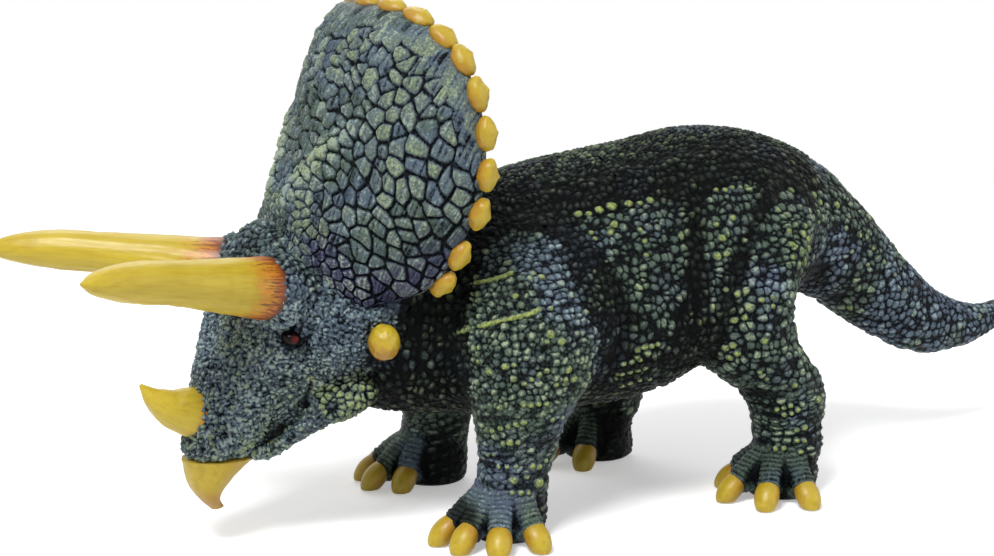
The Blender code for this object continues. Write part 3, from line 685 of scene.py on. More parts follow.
THROAT_SHADE_WIDTH = 0.0085
BELLY_SHADE_HEIGHT = 0.0560
KNEE_SHADE_PLACE = 0.0150
GROIN_SHADE_WIDTH = 0.0050
ARM_SHADE_WIDTH = 0.0048
arm_shade = ((-0.0250, 0.0710), (-0.0225, 0.0630), (-0.0190, 0.0555), (-0.0155, 0.0485),
             (-0.0135, 0.0370))
groin_shade = ((0.0178, 0.0935), (0.0120, 0.0795), (0.0085, 0.0650), (0.0080, 0.0520),
               (0.0110, 0.0420))

# Large lime pebbles on the left side in tenths of millimetres: where, and how wide from the
# middle. The right side has the same ones.
lime_pebbles = (
    (-431, -357, 655, 9), (-521, -324, 523, 7), (-522, -320, 486, 7), (-502, -347, 464, 12),
    (-474, -382, 481, 11), (-455, -394, 487, 8), (-431, -403, 437, 8), (-413, -411, 447, 8),
    (-393, -416, 459, 8), (-375, -420, 468, 8), (-364, -419, 560, 12), (-336, -426, 541, 12),
    (-375, -420, 543, 8), (-427, -395, 380, 9), (-409, -399, 379, 9), (-389, -403, 380, 9),
    (-368, -407, 378, 8), (-345, -418, 428, 8), (-320, -413, 426, 8), (-483, -327, 302, 8),
    (-472, -350, 312, 8), (-456, -363, 318, 8), (-440, -376, 324, 9), (-423, -386, 330, 9),
    (-342, -391, 329, 8), (-308, -382, 328, 8), (-463, -349, 271, 8), (-449, -360, 274, 11),
    (-432, -372, 275, 8), (-487, -305, 233, 6), (-477, -325, 237, 6), (-390, -374, 207, 11),
    (-368, -370, 203, 9), (-346, -367, 215, 8), (-471, -336, 207, 7), (-453, -351, 209, 7),
    (-434, -365, 210, 7), (-438, -362, 173, 12), (-405, -370, 181, 8), (-365, -365, 158, 16),
    (-442, -363, 142, 8), (-421, -368, 140, 8), (-400, -372, 138, 8), (-312, -419, 463, 11),
    (-289, -409, 435, 11), (-353, -398, 624, 8), (-318, -415, 437, 8), (214, -262, 860, 8),
    (239, -266, 858, 8), (262, -265, 862, 8), (287, -265, 860, 8), (307, -263, 861, 8),
    (337, -255, 863, 8), (362, -250, 863, 8), (231, -316, 792, 11), (179, -321, 778, 8),
    (186, -341, 746, 12), (249, -345, 733, 13), (164, -357, 703, 13), (189, -356, 706, 11),
    (233, -356, 691, 13), (178, -373, 616, 12), (209, -383, 602, 13), (200, -389, 534, 12),
    (220, -406, 541, 9), (176, -368, 551, 11), (174, -354, 516, 9), (266, -416, 587, 9),
    (296, -422, 593, 8), (296, -427, 569, 8), (395, -345, 748, 9), (386, -365, 717, 9),
    (384, -380, 684, 8), (497, -218, 839, 11), (565, -206, 809, 13), (587, -203, 785, 11),
    (673, -161, 766, 13), (567, -225, 737, 9), (463, -320, 751, 9), (190, -364, 454, 11),
    (201, -380, 462, 11), (215, -380, 438, 11), (203, -360, 424, 11), (188, -343, 436, 9),
    (275, -421, 476, 11), (281, -391, 381, 8), (306, -388, 359, 8), (395, -394, 333, 11),
    (489, -371, 278, 12), (365, -350, 260, 8), (379, -362, 266, 8), (395, -372, 272, 8),
    (417, -374, 259, 9), (429, -379, 273, 8), (383, -358, 245, 8), (401, -369, 249, 8),
    (444, -370, 205, 11), (421, -365, 200, 8), (424, -363, 169, 8), (446, -368, 167, 8),
    (372, -335, 146, 8), (391, -349, 147, 8), (435, -367, 137, 9), (-182, -225, 822, 12),
    (-154, -232, 821, 9), (-123, -231, 829, 13), (-85, -231, 836, 15), (-37, -237, 839, 12),
    (-7, -242, 839, 9), (24, -242, 845, 12), (-167, -267, 778, 8), (-162, -280, 764, 8),
    (-117, -280, 776, 9), (-166, -298, 733, 8), (-173, -290, 745, 8), (-149, -316, 709, 8),
    (-148, -326, 692, 8), (-30, -310, 752, 8), (-37, -329, 719, 8), (-194, -301, 720, 8),
    (-35, -292, 779, 8), (-76, -360, 479, 11), (-57, -363, 483, 11), (-38, -366, 484, 9),
    (-21, -368, 488, 8), (-109, -345, 440, 8), (-87, -348, 443, 9), (-64, -351, 447, 8),
    (-103, -324, 407, 8), (-81, -329, 411, 9), (-60, -333, 415, 8), (-39, -338, 419, 8),
    (-84, -293, 366, 8), (-64, -300, 373, 8), (-38, -307, 380, 8), (-6, -305, 378, 7),
    (703, -165, 699, 9), (764, -147, 668, 8), (730, -159, 627, 8), (821, -132, 625, 8),
    (870, -118, 578, 8), (799, -140, 580, 8), (920, -104, 533, 8), (966, -93, 482, 8),
)
shoulder_strips = (
    ((-502, -240, 668), (-492, -276, 681), (-468, -297, 688), (-438, -311, 698), (-411, -313, 709)),
    ((-540, -241, 546), (-524, -283, 564), (-506, -333, 583), (-480, -364, 597), (-445, -380, 604),
     (-410, -394, 614), (-373, -394, 628)),
)
TENTH = 0.0001
x, y, z = skin[:, 0], skin[:, 1], skin[:, 2]
side = np.where(y < 0, -1.0, 1.0)
relief = Relief(len(skin))
belongs = {
    "trunk": share_of("trunk"),
    "tail": share_of("tail"),
    "head": share_of("head", "lower_jaw"),
    "front": share_of("front_left_leg", "front_right_leg"),
    "rear": share_of("rear_left_leg", "rear_right_leg"),
}
whole = np.maximum(sum(belongs.values()), 1e-3)
belongs = {key: value / whole for key, value in belongs.items()}
up_facing = skin_normals[:, 2]


# The sizes of pebbles, scales and knobs along, across and up, and how high they stand
TRUNK_PEBBLE = (0.0021, 0.0022, 0.0025)
TRUNK_KNOB = (0.0016, 0.0016, 0.0016)
FRONT_LEG_PEBBLE = (0.0020, 0.0020, 0.0019)
REAR_LEG_PEBBLE = (0.0025, 0.0025, 0.0024)
LEG_BAR = (0.0030, 0.0030, 0.0016)
TAIL_PEBBLE = (0.0025, 0.0023, 0.0023)
TAIL_KNOB = (0.0018, 0.0018, 0.0018)
HEAD_KNOB = (0.0013, 0.0011, 0.0012)
FOREHEAD_SCALE = (0.0021, 0.0019, 0.0021)
JAW_KNOB = (0.0020, 0.0022, 0.0020)
TRUNK_PEBBLE_HEIGHT = 0.00080
LEG_PEBBLE_HEIGHT = 0.00082
TAIL_PEBBLE_HEIGHT = 0.00072
SPINE_LIFT = 0.0002
TRUNK_KNOB_HEIGHT = 0.00095
TAIL_KNOB_HEIGHT = 0.00060
LEG_BAR_HEIGHT = 0.00046
LEG_FOLD_HEIGHT = 0.00060
FLANK_FOLD_HEIGHT = 0.0009
HEAD_KNOB_HEIGHT = 0.00055
FOREHEAD_SCALE_HEIGHT = 0.00062
JAW_KNOB_HEIGHT = 0.00085
FRONT_WRIST = 0.036
REAR_WRIST = 0.032
RIDGE_STEP = 0.002
TOE_FOLD = 0.0014
TOE_FOLD_HEIGHT = 0.00034
LIME_PEBBLE_HEIGHT = 0.00062
STRIP_HEIGHT = 0.00075
STRIP_HALF_WIDTH = 0.00080
BEAD_LENGTH = 0.0019
SKIN_SINK = 0.00030


def part_of_skin(key):
    """Where a part has more than a trace of the skin, with its points and their shares."""
    there = belongs[key] > 0.004
    return there, skin[there], belongs[key][there]


def ridge_line():
    """The top line of the trunk and tail: places 2 mm apart along them, and the height of the
    highest skin from each place to the next."""
    own = (belongs["trunk"] + belongs["tail"]) > 0.5
    places = np.arange(x.min(), x.max(), RIDGE_STEP)
    slot = np.clip(np.searchsorted(places, x[own]), 0, len(places) - 1)
    top = np.zeros(len(places))
    np.maximum.at(top, slot, z[own])
    return places[top > 0], top[top > 0]


drop_below_ridge = np.interp(x, *ridge_line()) - z


def spine_band(there, wide, narrow):
    """1 on upward skin within the narrow drop below the top line, 0 past the wide one."""
    near = soft_step(wide, narrow, drop_below_ridge[there])
    return near * soft_step(0.0, 0.5, up_facing[there])


def trunk_skin():
    """Pebbles of 2 mm, which ride on upright folds along the flanks, and a band of small knobs
    along the spine."""
    there, points, weight = part_of_skin("trunk")
    dome, number = pebbles(points, TRUNK_PEBBLE, 11, 0.70)
    small, small_number = pebbles(points, TRUNK_KNOB, 17, 0.76)
    across = points * (1 / 0.0042, 1 / 0.011, 1 / 0.020)
    folds = 1 - np.abs(drift(across, 1.0, 23, 2))
    flank = hill(points[:, 0] + 0.0025, 0.030) * soft_step(0.9, 0.3, np.abs(up_facing[there]))
    lumps = drift(points, 0.007, 29, 2)
    spine = spine_band(there, 0.0034, 0.0014)
    height = raised(TRUNK_PEBBLE_HEIGHT, dome, number) + 0.00035 * lumps
    height += spine * (SPINE_LIFT + TRUNK_KNOB_HEIGHT * small - height)
    height = height + flank * FLANK_FOLD_HEIGHT * (folds - 0.75)
    peak = brushed_and_lit_tops(dome, number) * (1 - 0.4 * flank * soft_step(0.8, 0.5, folds))
    peak += spine * (small**1.6 * (0.15 + 0.60 * small_number) - peak)
    relief.lay_at(there, weight, height, peak, number)
    relief.lime[there] += weight * spine * 0.50 * small**2 * soft_step(0.30, 0.80, small_number)
    relief.spared[there] = weight * spine * 0.35


def leg_skin(key, seed, size, tilt, wrist):
    """Pebbles on the upper leg, and from the wrist height down short bars that lie across the
    leg on finely wrinkled skin. The bars slope with the length by the tilt."""
    there, points, weight = part_of_skin(key)
    bent = points.copy()
    bent[:, 2] += 0.0012 * drift(points, 0.012, seed + 3) - tilt * points[:, 0]
    dome, number = pebbles(points, size, seed, 0.74)
    bars, bar_number = scales(bent, LEG_BAR, seed + 9, 0.42, 0.5)
    folds = 1 - np.abs(drift(bent * (0.12, 0.12, 1.0), 0.0021, seed + 12, 2))
    wrinkle = np.abs(drift(bent * (0.4, 0.4, 1.0), 0.0009, seed + 13))
    ragged = points[:, 2] + 0.004 * drift(points, 0.010, seed + 6)
    low = soft_step(wrist + 0.004, wrist - 0.004, ragged)
    high = raised(LEG_PEBBLE_HEIGHT, dome, number) - 0.00015 * wrinkle
    deep = LEG_BAR_HEIGHT * bars * (0.5 + 0.7 * bar_number)
    deep = deep + LEG_FOLD_HEIGHT * (folds - 0.6) - 0.00016 * wrinkle
    height = high + low * (deep - high) + 0.00035 * drift(points, 0.008, seed + 8, 2)
    peak = brushed_and_lit_tops(dome, number)
    bar_peak = bars * (0.42 + 0.55 * bar_number) * soft_step(0.30, 0.70, folds)
    relief.lay_at(there, weight, height, peak + low * (bar_peak - peak), number)


def tail_skin():
    """Pebbles of 2 to 3 mm on the tail, with the spine's knobs carried on along its top."""
    there, points, weight = part_of_skin("tail")
    dome, number = pebbles(points, TAIL_PEBBLE, 61, 0.74)
    small, _ = pebbles(points, TAIL_KNOB, 67, 0.76)
    spine = spine_band(there, 0.0045, 0.0020)
    taper = 0.5 + 0.5 * soft_step(0.150, 0.100, points[:, 0])
    height = raised(TAIL_PEBBLE_HEIGHT, dome, number)
    height += spine * (SPINE_LIFT + TAIL_KNOB_HEIGHT * small - height)
    height += 0.00030 * drift(points, 0.006, 71, 2)
    peak = brushed_and_lit_tops(dome, number)
    relief.lay_at(there, weight, height * taper, peak + spine * (small - peak), number)


def eye_nearness(points):
    """How far points lie from an eye's middle, in half sizes of its slanted opening."""
    gap = points[:, [0, 2]] - EYE[[0, 2]]
    slant = np.stack([gap[:, 0] + 0.3 * gap[:, 1], gap[:, 1] - 0.3 * gap[:, 0]], 1)
    near = np.linalg.norm(slant * (1 / EYE_OPENING_LENGTH, 1 / EYE_OPENING_HEIGHT), axis=1)
    return np.where(np.abs(points[:, 1]) > EYE_INNER_SIDE, near, 9.0)


def nostril_nearness(points):
    """How far points lie from a nostril's middle, in half sizes of its opening."""
    gap = np.stack([points[:, 0], np.abs(points[:, 1]), points[:, 2]], 1) - NOSTRIL
    sizes = (1 / NOSTRIL_LENGTH, 0.4 / NOSTRIL_LENGTH, 1 / NOSTRIL_HEIGHT)
    return np.linalg.norm(gap * sizes, axis=1)


def brow(points):
    """1 along the middle of the brow over an eye."""
    along = hill((points[:, 0] - EYE[0] + BROW_BACK) / BROW_LENGTH, 1.0)
    above = hill((points[:, 2] - EYE[2] - BROW_RISE) / BROW_HEIGHT, 1.0)
    return np.where(np.abs(points[:, 1]) > BROW_INNER_SIDE, along * above, 0)


def jaw_muscle_share(points):
    """1 on the jaw muscle, a turned ellipse with a ragged border as seen from the side."""
    gap = (points[:, [0, 2]] - jaw_muscle) * (1 / JAW_MUSCLE_LENGTH, 1 / JAW_MUSCLE_HEIGHT)
    gap = gap @ np.array([[0.82, -0.57], [0.57, 0.82]])
    return soft_step(1.2, 0.85, np.linalg.norm(gap, axis=1) + 0.25 * drift(points, 0.006, 107))


def head_skin():
    """Fine knobs of 1.2 mm on the snout, larger scales over the eyes, round knobs on the jaw
    muscle, a crease at the mouth, lids and a socket round each eye, and the nostrils."""
    there, points, weight = part_of_skin("head")
    fine, fine_number = pebbles(points, HEAD_KNOB, 83, 0.84, 0.85, 0.5)
    large, large_number = scales(points, FOREHEAD_SCALE, 89, 0.40)
    knobs, knob_number = pebbles(points, JAW_KNOB, 97, 0.80, 0.6, 0.15)
    wrinkle = np.abs(drift(points, 0.0022, 103, 2))
    muscle = jaw_muscle_share(points)
    forehead = soft_step(0.062, 0.070, points[:, 2] + 0.25 * (points[:, 0] + 0.085))
    height = HEAD_KNOB_HEIGHT * fine * (0.5 + fine_number) + 0.00035 * drift(points, 0.004, 101, 2)
    height -= 0.00025 * soft_step(0.25, 0.0, wrinkle)
    height += forehead * (FOREHEAD_SCALE_HEIGHT * large * (0.5 + large_number) - height * 0.5)
    height += muscle * (0.0005 + JAW_KNOB_HEIGHT * knobs - height)
    thin = hill(drift(points * (1, 1, 1.5), 0.0022, 109, 2), 0.13)
    height += 0.00022 * thin
    peak = np.clip(fine * (0.40 + 0.50 * fine_number) + 0.42 * thin, 0, 1)
    peak += 0.45 * soft_step(-0.090, -0.104, points[:, 0]) * peak
    peak += forehead * (large * (0.50 + 0.50 * large_number) + 0.3 * thin - peak)
    peak += muscle * (0.84 * knobs - peak)
    mouth, mouth_place = polyline_gap(points[:, [0, 2]], mouth_line)
    cut = hill(mouth, 0.00065) * soft_step(1.0, 0.9, mouth_place)
    lip = hill(mouth - 0.0016, 0.0010) * soft_step(1.0, 0.8, mouth_place)
    height += 0.0003 * lip - 0.0008 * cut
    eye = eye_nearness(points)
    lids = hill(eye - 1.40, 0.30)
    socket = 0.0005 * hill(eye - 3.3, 0.4) - 0.0008 * hill(eye - 2.5, 0.5)
    height += lids * (0.0016 - height) + socket
    height -= 0.0020 * soft_step(1.15, 0.80, eye)
    height += 0.0009 * brow(points)
    nostril = nostril_nearness(points)
    ring = hill(nostril - 1.6, 0.45)
    height += 0.0005 * ring * (0.5 + knobs) - 0.0024 * hill(nostril, 0.75)
    peak = np.clip(peak - 0.6 * lids, 0, 1)
    relief.lay_at(there, weight, height, peak, np.where(muscle > 0.5, knob_number, fine_number))
    relief.lime[there] += weight * (0.62 * muscle * knobs + 0.5 * ring * knobs)
    dark = 0.8 * cut + 0.6 * hill(eye - 1.1, 0.30) + 0.5 * hill(eye - 2.3, 0.5)
    dark += hill(nostril, 0.75)
    relief.dark[there] += weight * (dark + 0.45 * muscle * soft_step(0.35, 0.0, knobs))


def in_axes(points, centre, axes):
    """Places in an egg's own half axes."""
    return np.stack([(points - centre) @ axis / (axis @ axis) for axis in axes], 1)


def foot_skin():
    """Toes: folds across each, one to every 1.4 mm of its length, a rim of skin round its nail,
    and painted shade in the clefts between it and the next, low down beside it and round its nail."""
    feet = soft_step(0.3, 0.7, belongs["front"] + belongs["rear"]) * soft_step(0.0175, 0.0125, z)
    for leg in foot_shares:
        away = np.linalg.norm((skin - foot_middle(leg))[:, :2], axis=1)
        close = np.flatnonzero((away < 0.027) & (z < 0.02))
        points, height = skin[close], z[close]
        best, edge = np.full((2, len(close)), 9.0)
        aside, run = np.zeros((2, len(close)))
        for out, across, toe, toe_axes, nail, nail_axes in toe_places(leg):
            local = in_axes(points, toe, toe_axes)
            apart = np.linalg.norm(local, axis=1)
            nearer = apart < best
            best = np.where(nearer, apart, best)
            aside = np.where(nearer, np.abs(local[:, 1]), aside)
            run = np.where(nearer, local[:, 0] * np.linalg.norm(toe_axes[0]), run)
            edge = np.minimum(edge, np.linalg.norm(in_axes(points, nail, nail_axes), axis=1))
        foot = feet[close]
        near = foot * soft_step(1.50, 1.15, best)
        bent = run + 0.0006 * aside**2 + 0.0004 * drift(points, 0.003, 173)
        fold = np.abs(np.sin(np.pi * bent / TOE_FOLD))
        crest = soft_step(1.0, 0.70, aside)
        folded = TOE_FOLD_HEIGHT * fold**0.8 * crest + 0.00012 * drift(points, 0.0012, 179)
        relief.height[close] += near * (folded - 0.00045 * (1 - crest) - relief.height[close])
        relief.height[close] += 0.0003 * hill(edge - 1.18, 0.12) * foot
        peak = crest * (0.18 + 0.40 * fold) * (1 - 0.35 * belongs["rear"][close])
        relief.brushed[close] += near * (peak - relief.brushed[close])
        relief.lime[close] *= 1 - 0.8 * near
        # Painted shade in the clefts between the toes, low down beside them and round each nail
        below = soft_step(1.10, 1.22, best) * soft_step(0.0095, 0.0075, height)
        cleft_shade = np.maximum(soft_step(0.82, 1.08, aside), below)
        cleft_shade = 0.85 * cleft_shade * soft_step(0.0150, 0.0120, height)
        relief.dark[close] += foot * (cleft_shade + 0.35 * hill(edge - 1.03, 0.06))


def lay_lime(near, reach, share, top):
    """Lays a lime dome of the top's height on the skin at some points, whose reach is their
    distance over its radius: the root of 1 less its square, with a groove round it."""
    inside = soft_step(1.08, 0.80, reach) * share
    cap = np.sqrt(np.clip(1 - reach**2, 0, 1))
    groove = hill(reach - 1.25, 0.22) * share
    relief.height[near] += inside * (0.00005 + top * cap - relief.height[near])
    relief.height[near] -= 0.7 * groove * np.maximum(relief.height[near] + 0.0001, 0)
    peak = inside * (0.30 + 0.60 * cap**2 - relief.brushed[near])
    relief.brushed[near] += peak - 0.6 * groove * relief.brushed[near]
    lime = inside * (0.12 + 0.66 * cap**1.5)
    relief.lime[near] = np.maximum(relief.lime[near] * (1 - 0.7 * groove), lime)
    relief.spared[near] = np.maximum(relief.spared[near], inside)


def large_pebbles():
    """Lays the large lime pebbles and the two beaded strips of the shoulder on the skin, on the
    left side and mirrored on the right one."""
    order = np.argsort(x)
    ordered = x[order]
    folded = np.stack([x, -np.abs(y), z], 1)

    def around(low, high):
        return order[np.searchsorted(ordered, low) : np.searchsorted(ordered, high)]

    for index, row in enumerate(np.array(lime_pebbles) * TENTH):
        near = around(row[0] - 2 * row[3], row[0] + 2 * row[3])
        gap = (folded[near] - row[:3]) / row[3]
        wobble = 1 + 0.16 * drift(folded[near], 0.0011, 181 + index)
        reach = np.linalg.norm(gap * (0.92, 1.0, 1.06), axis=1) * wobble
        close = reach < 2
        lay_lime(near[close], reach[close], 1.0, LIME_PEBBLE_HEIGHT)
    for line in shoulder_strips:
        line = np.array(line) * TENTH
        near = around(line[:, 0].min() - 0.002, line[:, 0].max() + 0.002)
        gap, place = polyline_gap(folded[near], line)
        length = np.linalg.norm(np.diff(line, axis=0), axis=1).sum()
        beads = np.abs(np.sin(np.pi * place * length / BEAD_LENGTH))
        uneven = 1 + 0.30 * drift(folded[near], 0.0022, 191, 2)
        width = STRIP_HALF_WIDTH * (0.60 + 0.40 * beads) * uneven
        share = soft_step(0.0, 0.05, place) * soft_step(1.0, 0.95, place)
        close = gap < 0.0022
        lay_lime(near[close], (gap / width)[close], share[close], STRIP_HEIGHT)


trunk_skin()
leg_skin("front", 41, FRONT_LEG_PEBBLE, 0.22, FRONT_WRIST)
leg_skin("rear", 53, REAR_LEG_PEBBLE, 0.08, REAR_WRIST)
tail_skin()
head_skin()
foot_skin()
large_pebbles()


def creases():
    """1 deep in the creases where a leg's solid meets the trunk's."""
    crease = np.zeros(len(skin), np.float32)
    for leg in foot_shares:
        gap = np.abs(nearness["trunk"] - nearness[leg])
        near = np.minimum(nearness["trunk"], nearness[leg])
        crease = np.maximum(crease, hill(gap, 0.0030) * hill(near, 0.006))
    return crease


def airbrush_and_painted_shade():
    """Near-black: airbrushed paint in a band under the spine, and painted shade, partly over
    airbrushed paint, behind the head, in the creases between the legs and the trunk, in front of
    the thigh, under the belly and on the far legs."""
    rough = 0.35 * drift(skin, 0.012, 131, 2)
    flat = skin[:, [0, 2]]
    # Painted shade, partly over airbrushed paint, behind and under the head
    neck = hill((x - NECK_SHADE_PLACE) / NECK_SHADE_WIDTH, 1.0) * soft_step(0.085, 0.070, z)
    neck = neck * soft_step(-0.2, 0.35, 1.0 - belongs["head"])
    throat = hill((x - THROAT_SHADE_PLACE) / THROAT_SHADE_WIDTH, 1.0)
    neck += throat * soft_step(0.060, 0.050, z) * 0.8
    back = 0.70 + 0.30 * soft_step(0.0010, 0.0030, drop_below_ridge)
    back = back * soft_step(0.0130, 0.0100, drop_below_ridge) * soft_step(0.078, 0.050, x)
    back = back * (belongs["trunk"] + belongs["tail"] + 0.5 * belongs["rear"])
    back = back * soft_step(-0.060, -0.045, x)
    # Painted shade, partly over airbrushed paint, in front of the thigh and behind the front leg
    groin = hill(polyline_gap(flat, groin_shade)[0], GROIN_SHADE_WIDTH) * soft_step(0.030, 0.040, z)
    arm = hill(polyline_gap(flat, arm_shade)[0], ARM_SHADE_WIDTH)
    # Painted shade on the belly's downward-facing skin and along the lower flank
    belly = belongs["trunk"] + belongs["tail"] * soft_step(0.085, 0.060, x)
    belly = soft_step(-0.05, -0.55, up_facing) * belly
    lower = hill(z - BELLY_SHADE_HEIGHT, 0.0050) * soft_step(-0.022, -0.014, x)
    lower = lower * soft_step(0.014, 0.006, x)
    knee = belongs["rear"] * hill(x - KNEE_SHADE_PLACE, 0.0040) * soft_step(0.058, 0.050, z) * 0.8
    # Painted shade in the creases between the legs and the trunk
    total = 0.9 * creases() + 1.1 * neck + 0.85 * back + 1.0 * groin + 0.9 * belly
    trunk_and_arm = belongs["trunk"] + 0.75 * belongs["front"]
    total = total + (1.0 * arm + 0.55 * lower) * trunk_and_arm + knee
    # Painted shade on the far legs
    far = np.where(y > 0, 0.12 * (belongs["front"] + belongs["rear"]), 0.0)
    spray_and_shade_mask = soft_step(0.15, 0.85, total + rough * np.minimum(total * 2, 1)) + far
    relief.dark[:] = np.clip(relief.dark + spray_and_shade_mask * (1 - 0.75 * relief.spared), 0, 1)


def drybrush():
    """Yellow-green dry-brush paint on patches of raised pebbles and on single ones, blue-grey on
    others, and darker patches on the head."""
    patch = drift(skin, 0.011, 151, 2)
    spot = drift(skin, 0.0035, 157)
    olive = 0.42 * soft_step(-0.15, 0.75, patch + 0.55 * spot) * relief.brushed
    single = soft_step(0.80, 1.0, relief.number) * soft_step(-0.6, 0.5, patch)
    single = 0.80 * single * relief.brushed
    share = 1 - 0.25 * belongs["head"]
    relief.lime[:] = np.clip(np.maximum(relief.lime, np.maximum(olive, single) * share), 0, 1)
    shade = soft_step(0.0, 0.7, drift(skin, 0.0075, 173, 2))
    relief.dark += 0.65 * belongs["head"] * shade
    blue = soft_step(-0.3, 0.7, drift(skin, 0.016, 163, 2) + 0.5 * belongs["tail"])
    blue *= 0.70 + 0.30 * belongs["tail"]
    relief.blue[:] = blue + belongs["head"] * (0.50 - 0.65 * blue)
    relief.brushed += 0.07 * belongs["front"] - 0.05 * belongs["tail"]
    relief.brushed += 0.03 * belongs["head"] * (1 - 2 * blue)


airbrush_and_painted_shade()
drybrush()
level_sole = soft_step(0.0004, 0.0016, z)
shaped = skin + skin_normals * ((relief.height - SKIN_SINK) * level_sole)[:, None]
shaped[:, 2] = np.maximum(shaped[:, 2], 0.0)
shaped = np.clip(shaped, np.array(cad_low), np.array(cad_high))
shaped_normals = vertex_normals("skin_shaped", shaped, skin_faces)
# Painted light from above and ahead: more pale paint on the side of each pebble that faces it,
# less on the side away from it.
painted_light_way = np.array([-0.48, 0.0, 0.88])
painted_light_side = (shaped_normals - skin_normals) @ painted_light_way
relief.brushed[:] = np.clip(relief.brushed * (0.82 + 0.85 * painted_light_side), 0, 1)


def cut_piece(name, quads, points, normals, values):
    """The skin's faces of one moulding as a closed piece: each edge at its border also bounds a
    three-cornered face to a point inside, the middle of the border."""
    used, flat = np.unique(quads, return_inverse=True)
    quads = flat.reshape(-1, 4)
    edges = np.concatenate([quads[:, [i, (i + 1) % 4]] for i in range(4)])
    codes = edges[:, 0] * (len(used) + 1) + edges[:, 1]
    back = edges[:, 1] * (len(used) + 1) + edges[:, 0]
    border = edges[~np.isin(codes, back)]
    inside = points[used][border.ravel()].mean(axis=0)
    middle = np.full(len(border), len(used))
    caps = np.stack([border[:, 1], border[:, 0], middle, middle], axis=-1)
    piece = mesh_object(name, np.vstack([points[used], inside]), np.concatenate([quads, caps]))
    turned = np.vstack([normals[used], [[0, 0, 1]]])
    piece.data.normals_split_custom_set_from_vertices(turned)
    mark(piece, **{key: np.append(numbers[used], 0.0) for key, numbers in values.items()})
    return piece


class Link:
    """A shader socket that can be added, taken away and multiplied as a number."""

    def __init__(self, paint, socket):
        self.paint = paint
        self.socket = socket

    def __add__(self, other):
        return self.paint.maths("ADD", self, other)

    def __radd__(self, other):
        return self.paint.maths("ADD", other, self)

    def __sub__(self, other):
        return self.paint.maths("SUBTRACT", self, other)

    def __rsub__(self, other):
        return self.paint.maths("SUBTRACT", other, self)

    def __mul__(self, other):
        return self.paint.maths("MULTIPLY", self, other)

    def __rmul__(self, other):
        return self.paint.maths("MULTIPLY", other, self)


class Nodes:
    """A node tree under way."""

    def __init__(self, tree):
        self.tree = tree

    def node(self, kind, settings=None, output=0, **sockets):
        """Any node: its type, its settings, and the values or links of its sockets, which are
        named, or numbered with an n before the number."""
        made = self.tree.nodes.new("ShaderNode" + kind)
        for name, value in (settings or {}).items():
            setattr(made, name, value)
        for name, value in sockets.items():
            key = int(name[1:]) if name[0] == "n" and name[1:].isdigit() else name.replace("_", " ")
            self.feed(made.inputs[key], value)
        return Link(self, made.outputs[output])

    def feed(self, socket, value):
        """Links a socket or sets its value."""
        if isinstance(value, Link):
            self.tree.links.new(value.socket, socket)
        else:
            socket.default_value = value

    def maths(self, operation, first, second):
        return self.node("Math", {"operation": operation}, n0=first, n1=second)

    def attribute(self, name):
        return self.node("Attribute", {"attribute_name": name}, 2)

    def place(self):
        return self.node("TexCoord", None, 3)

    def noise(self, scale, detail=3.0, roughness=0.6, vector=None):
        """Noise from 0 to 1 whose features are about one over the scale wide."""
        grain = {"Scale": scale, "Detail": detail, "Roughness": roughness}
        return self.node("TexNoise", None, 0, Vector=vector or self.place(), **grain)

    def step(self, low, high, value):
        """0 below low and 1 above high, smoothly."""
        smooth = {"interpolation_type": "SMOOTHSTEP"}
        return self.node("MapRange", smooth, 0, n0=value, n1=low, n2=high, n3=0.0, n4=1.0)

    def mix(self, factor, first, second):
        """A colour between two others."""
        return self.node("Mix", {"data_type": "RGBA"}, 2, n0=factor, n6=first, n7=second)


class Paint(Nodes):
    """A material under way, with the Principled shader that its nodes feed."""

    def __init__(self, name):
        self.material = bpy.data.materials.new(name)
        self.material.use_nodes = True
        super().__init__(self.material.node_tree)
        self.shader = self.tree.nodes["Principled BSDF"]

    def finish(self, colour, roughness, bump=None, strength=0.3, distance=0.0002, **constants):
        self.feed(self.shader.inputs["Base Color"], colour)
        self.feed(self.shader.inputs["Roughness"], roughness)
        for name, value in constants.items():
            self.shader.inputs[name.replace("_", " ")].default_value = value
        if bump is not None:
            normal = self.node("Bump", None, 0, Strength=strength, Distance=distance, Height=bump)
            self.feed(self.shader.inputs["Normal"], normal)
        return self.material


def colour(red, green, blue):
    """A paint colour from screen values of 0 to 255."""
    return tuple((value / 255) ** 2.2 for value in (red, green, blue)) + (1.0,)


SLATE = colour(88, 102, 116)
PALE_SLATE = colour(154, 172, 170)
PALE_MOSS = colour(164, 176, 142)
MOSS = colour(80, 95, 86)
LIME = colour(164, 176, 90)
DEEP_LIME = colour(108, 122, 58)
PURPLE = colour(70, 70, 100)
WASH = colour(14, 17, 20)
SPRAY_AND_SHADE = colour(9, 10, 11)
OCHRE = colour(192, 168, 46)
DEEP_OCHRE = colour(166, 134, 28)
ORANGE = colour(196, 92, 28)
BROWN = colour(150, 84, 26)
RUST = colour(92, 28, 16)


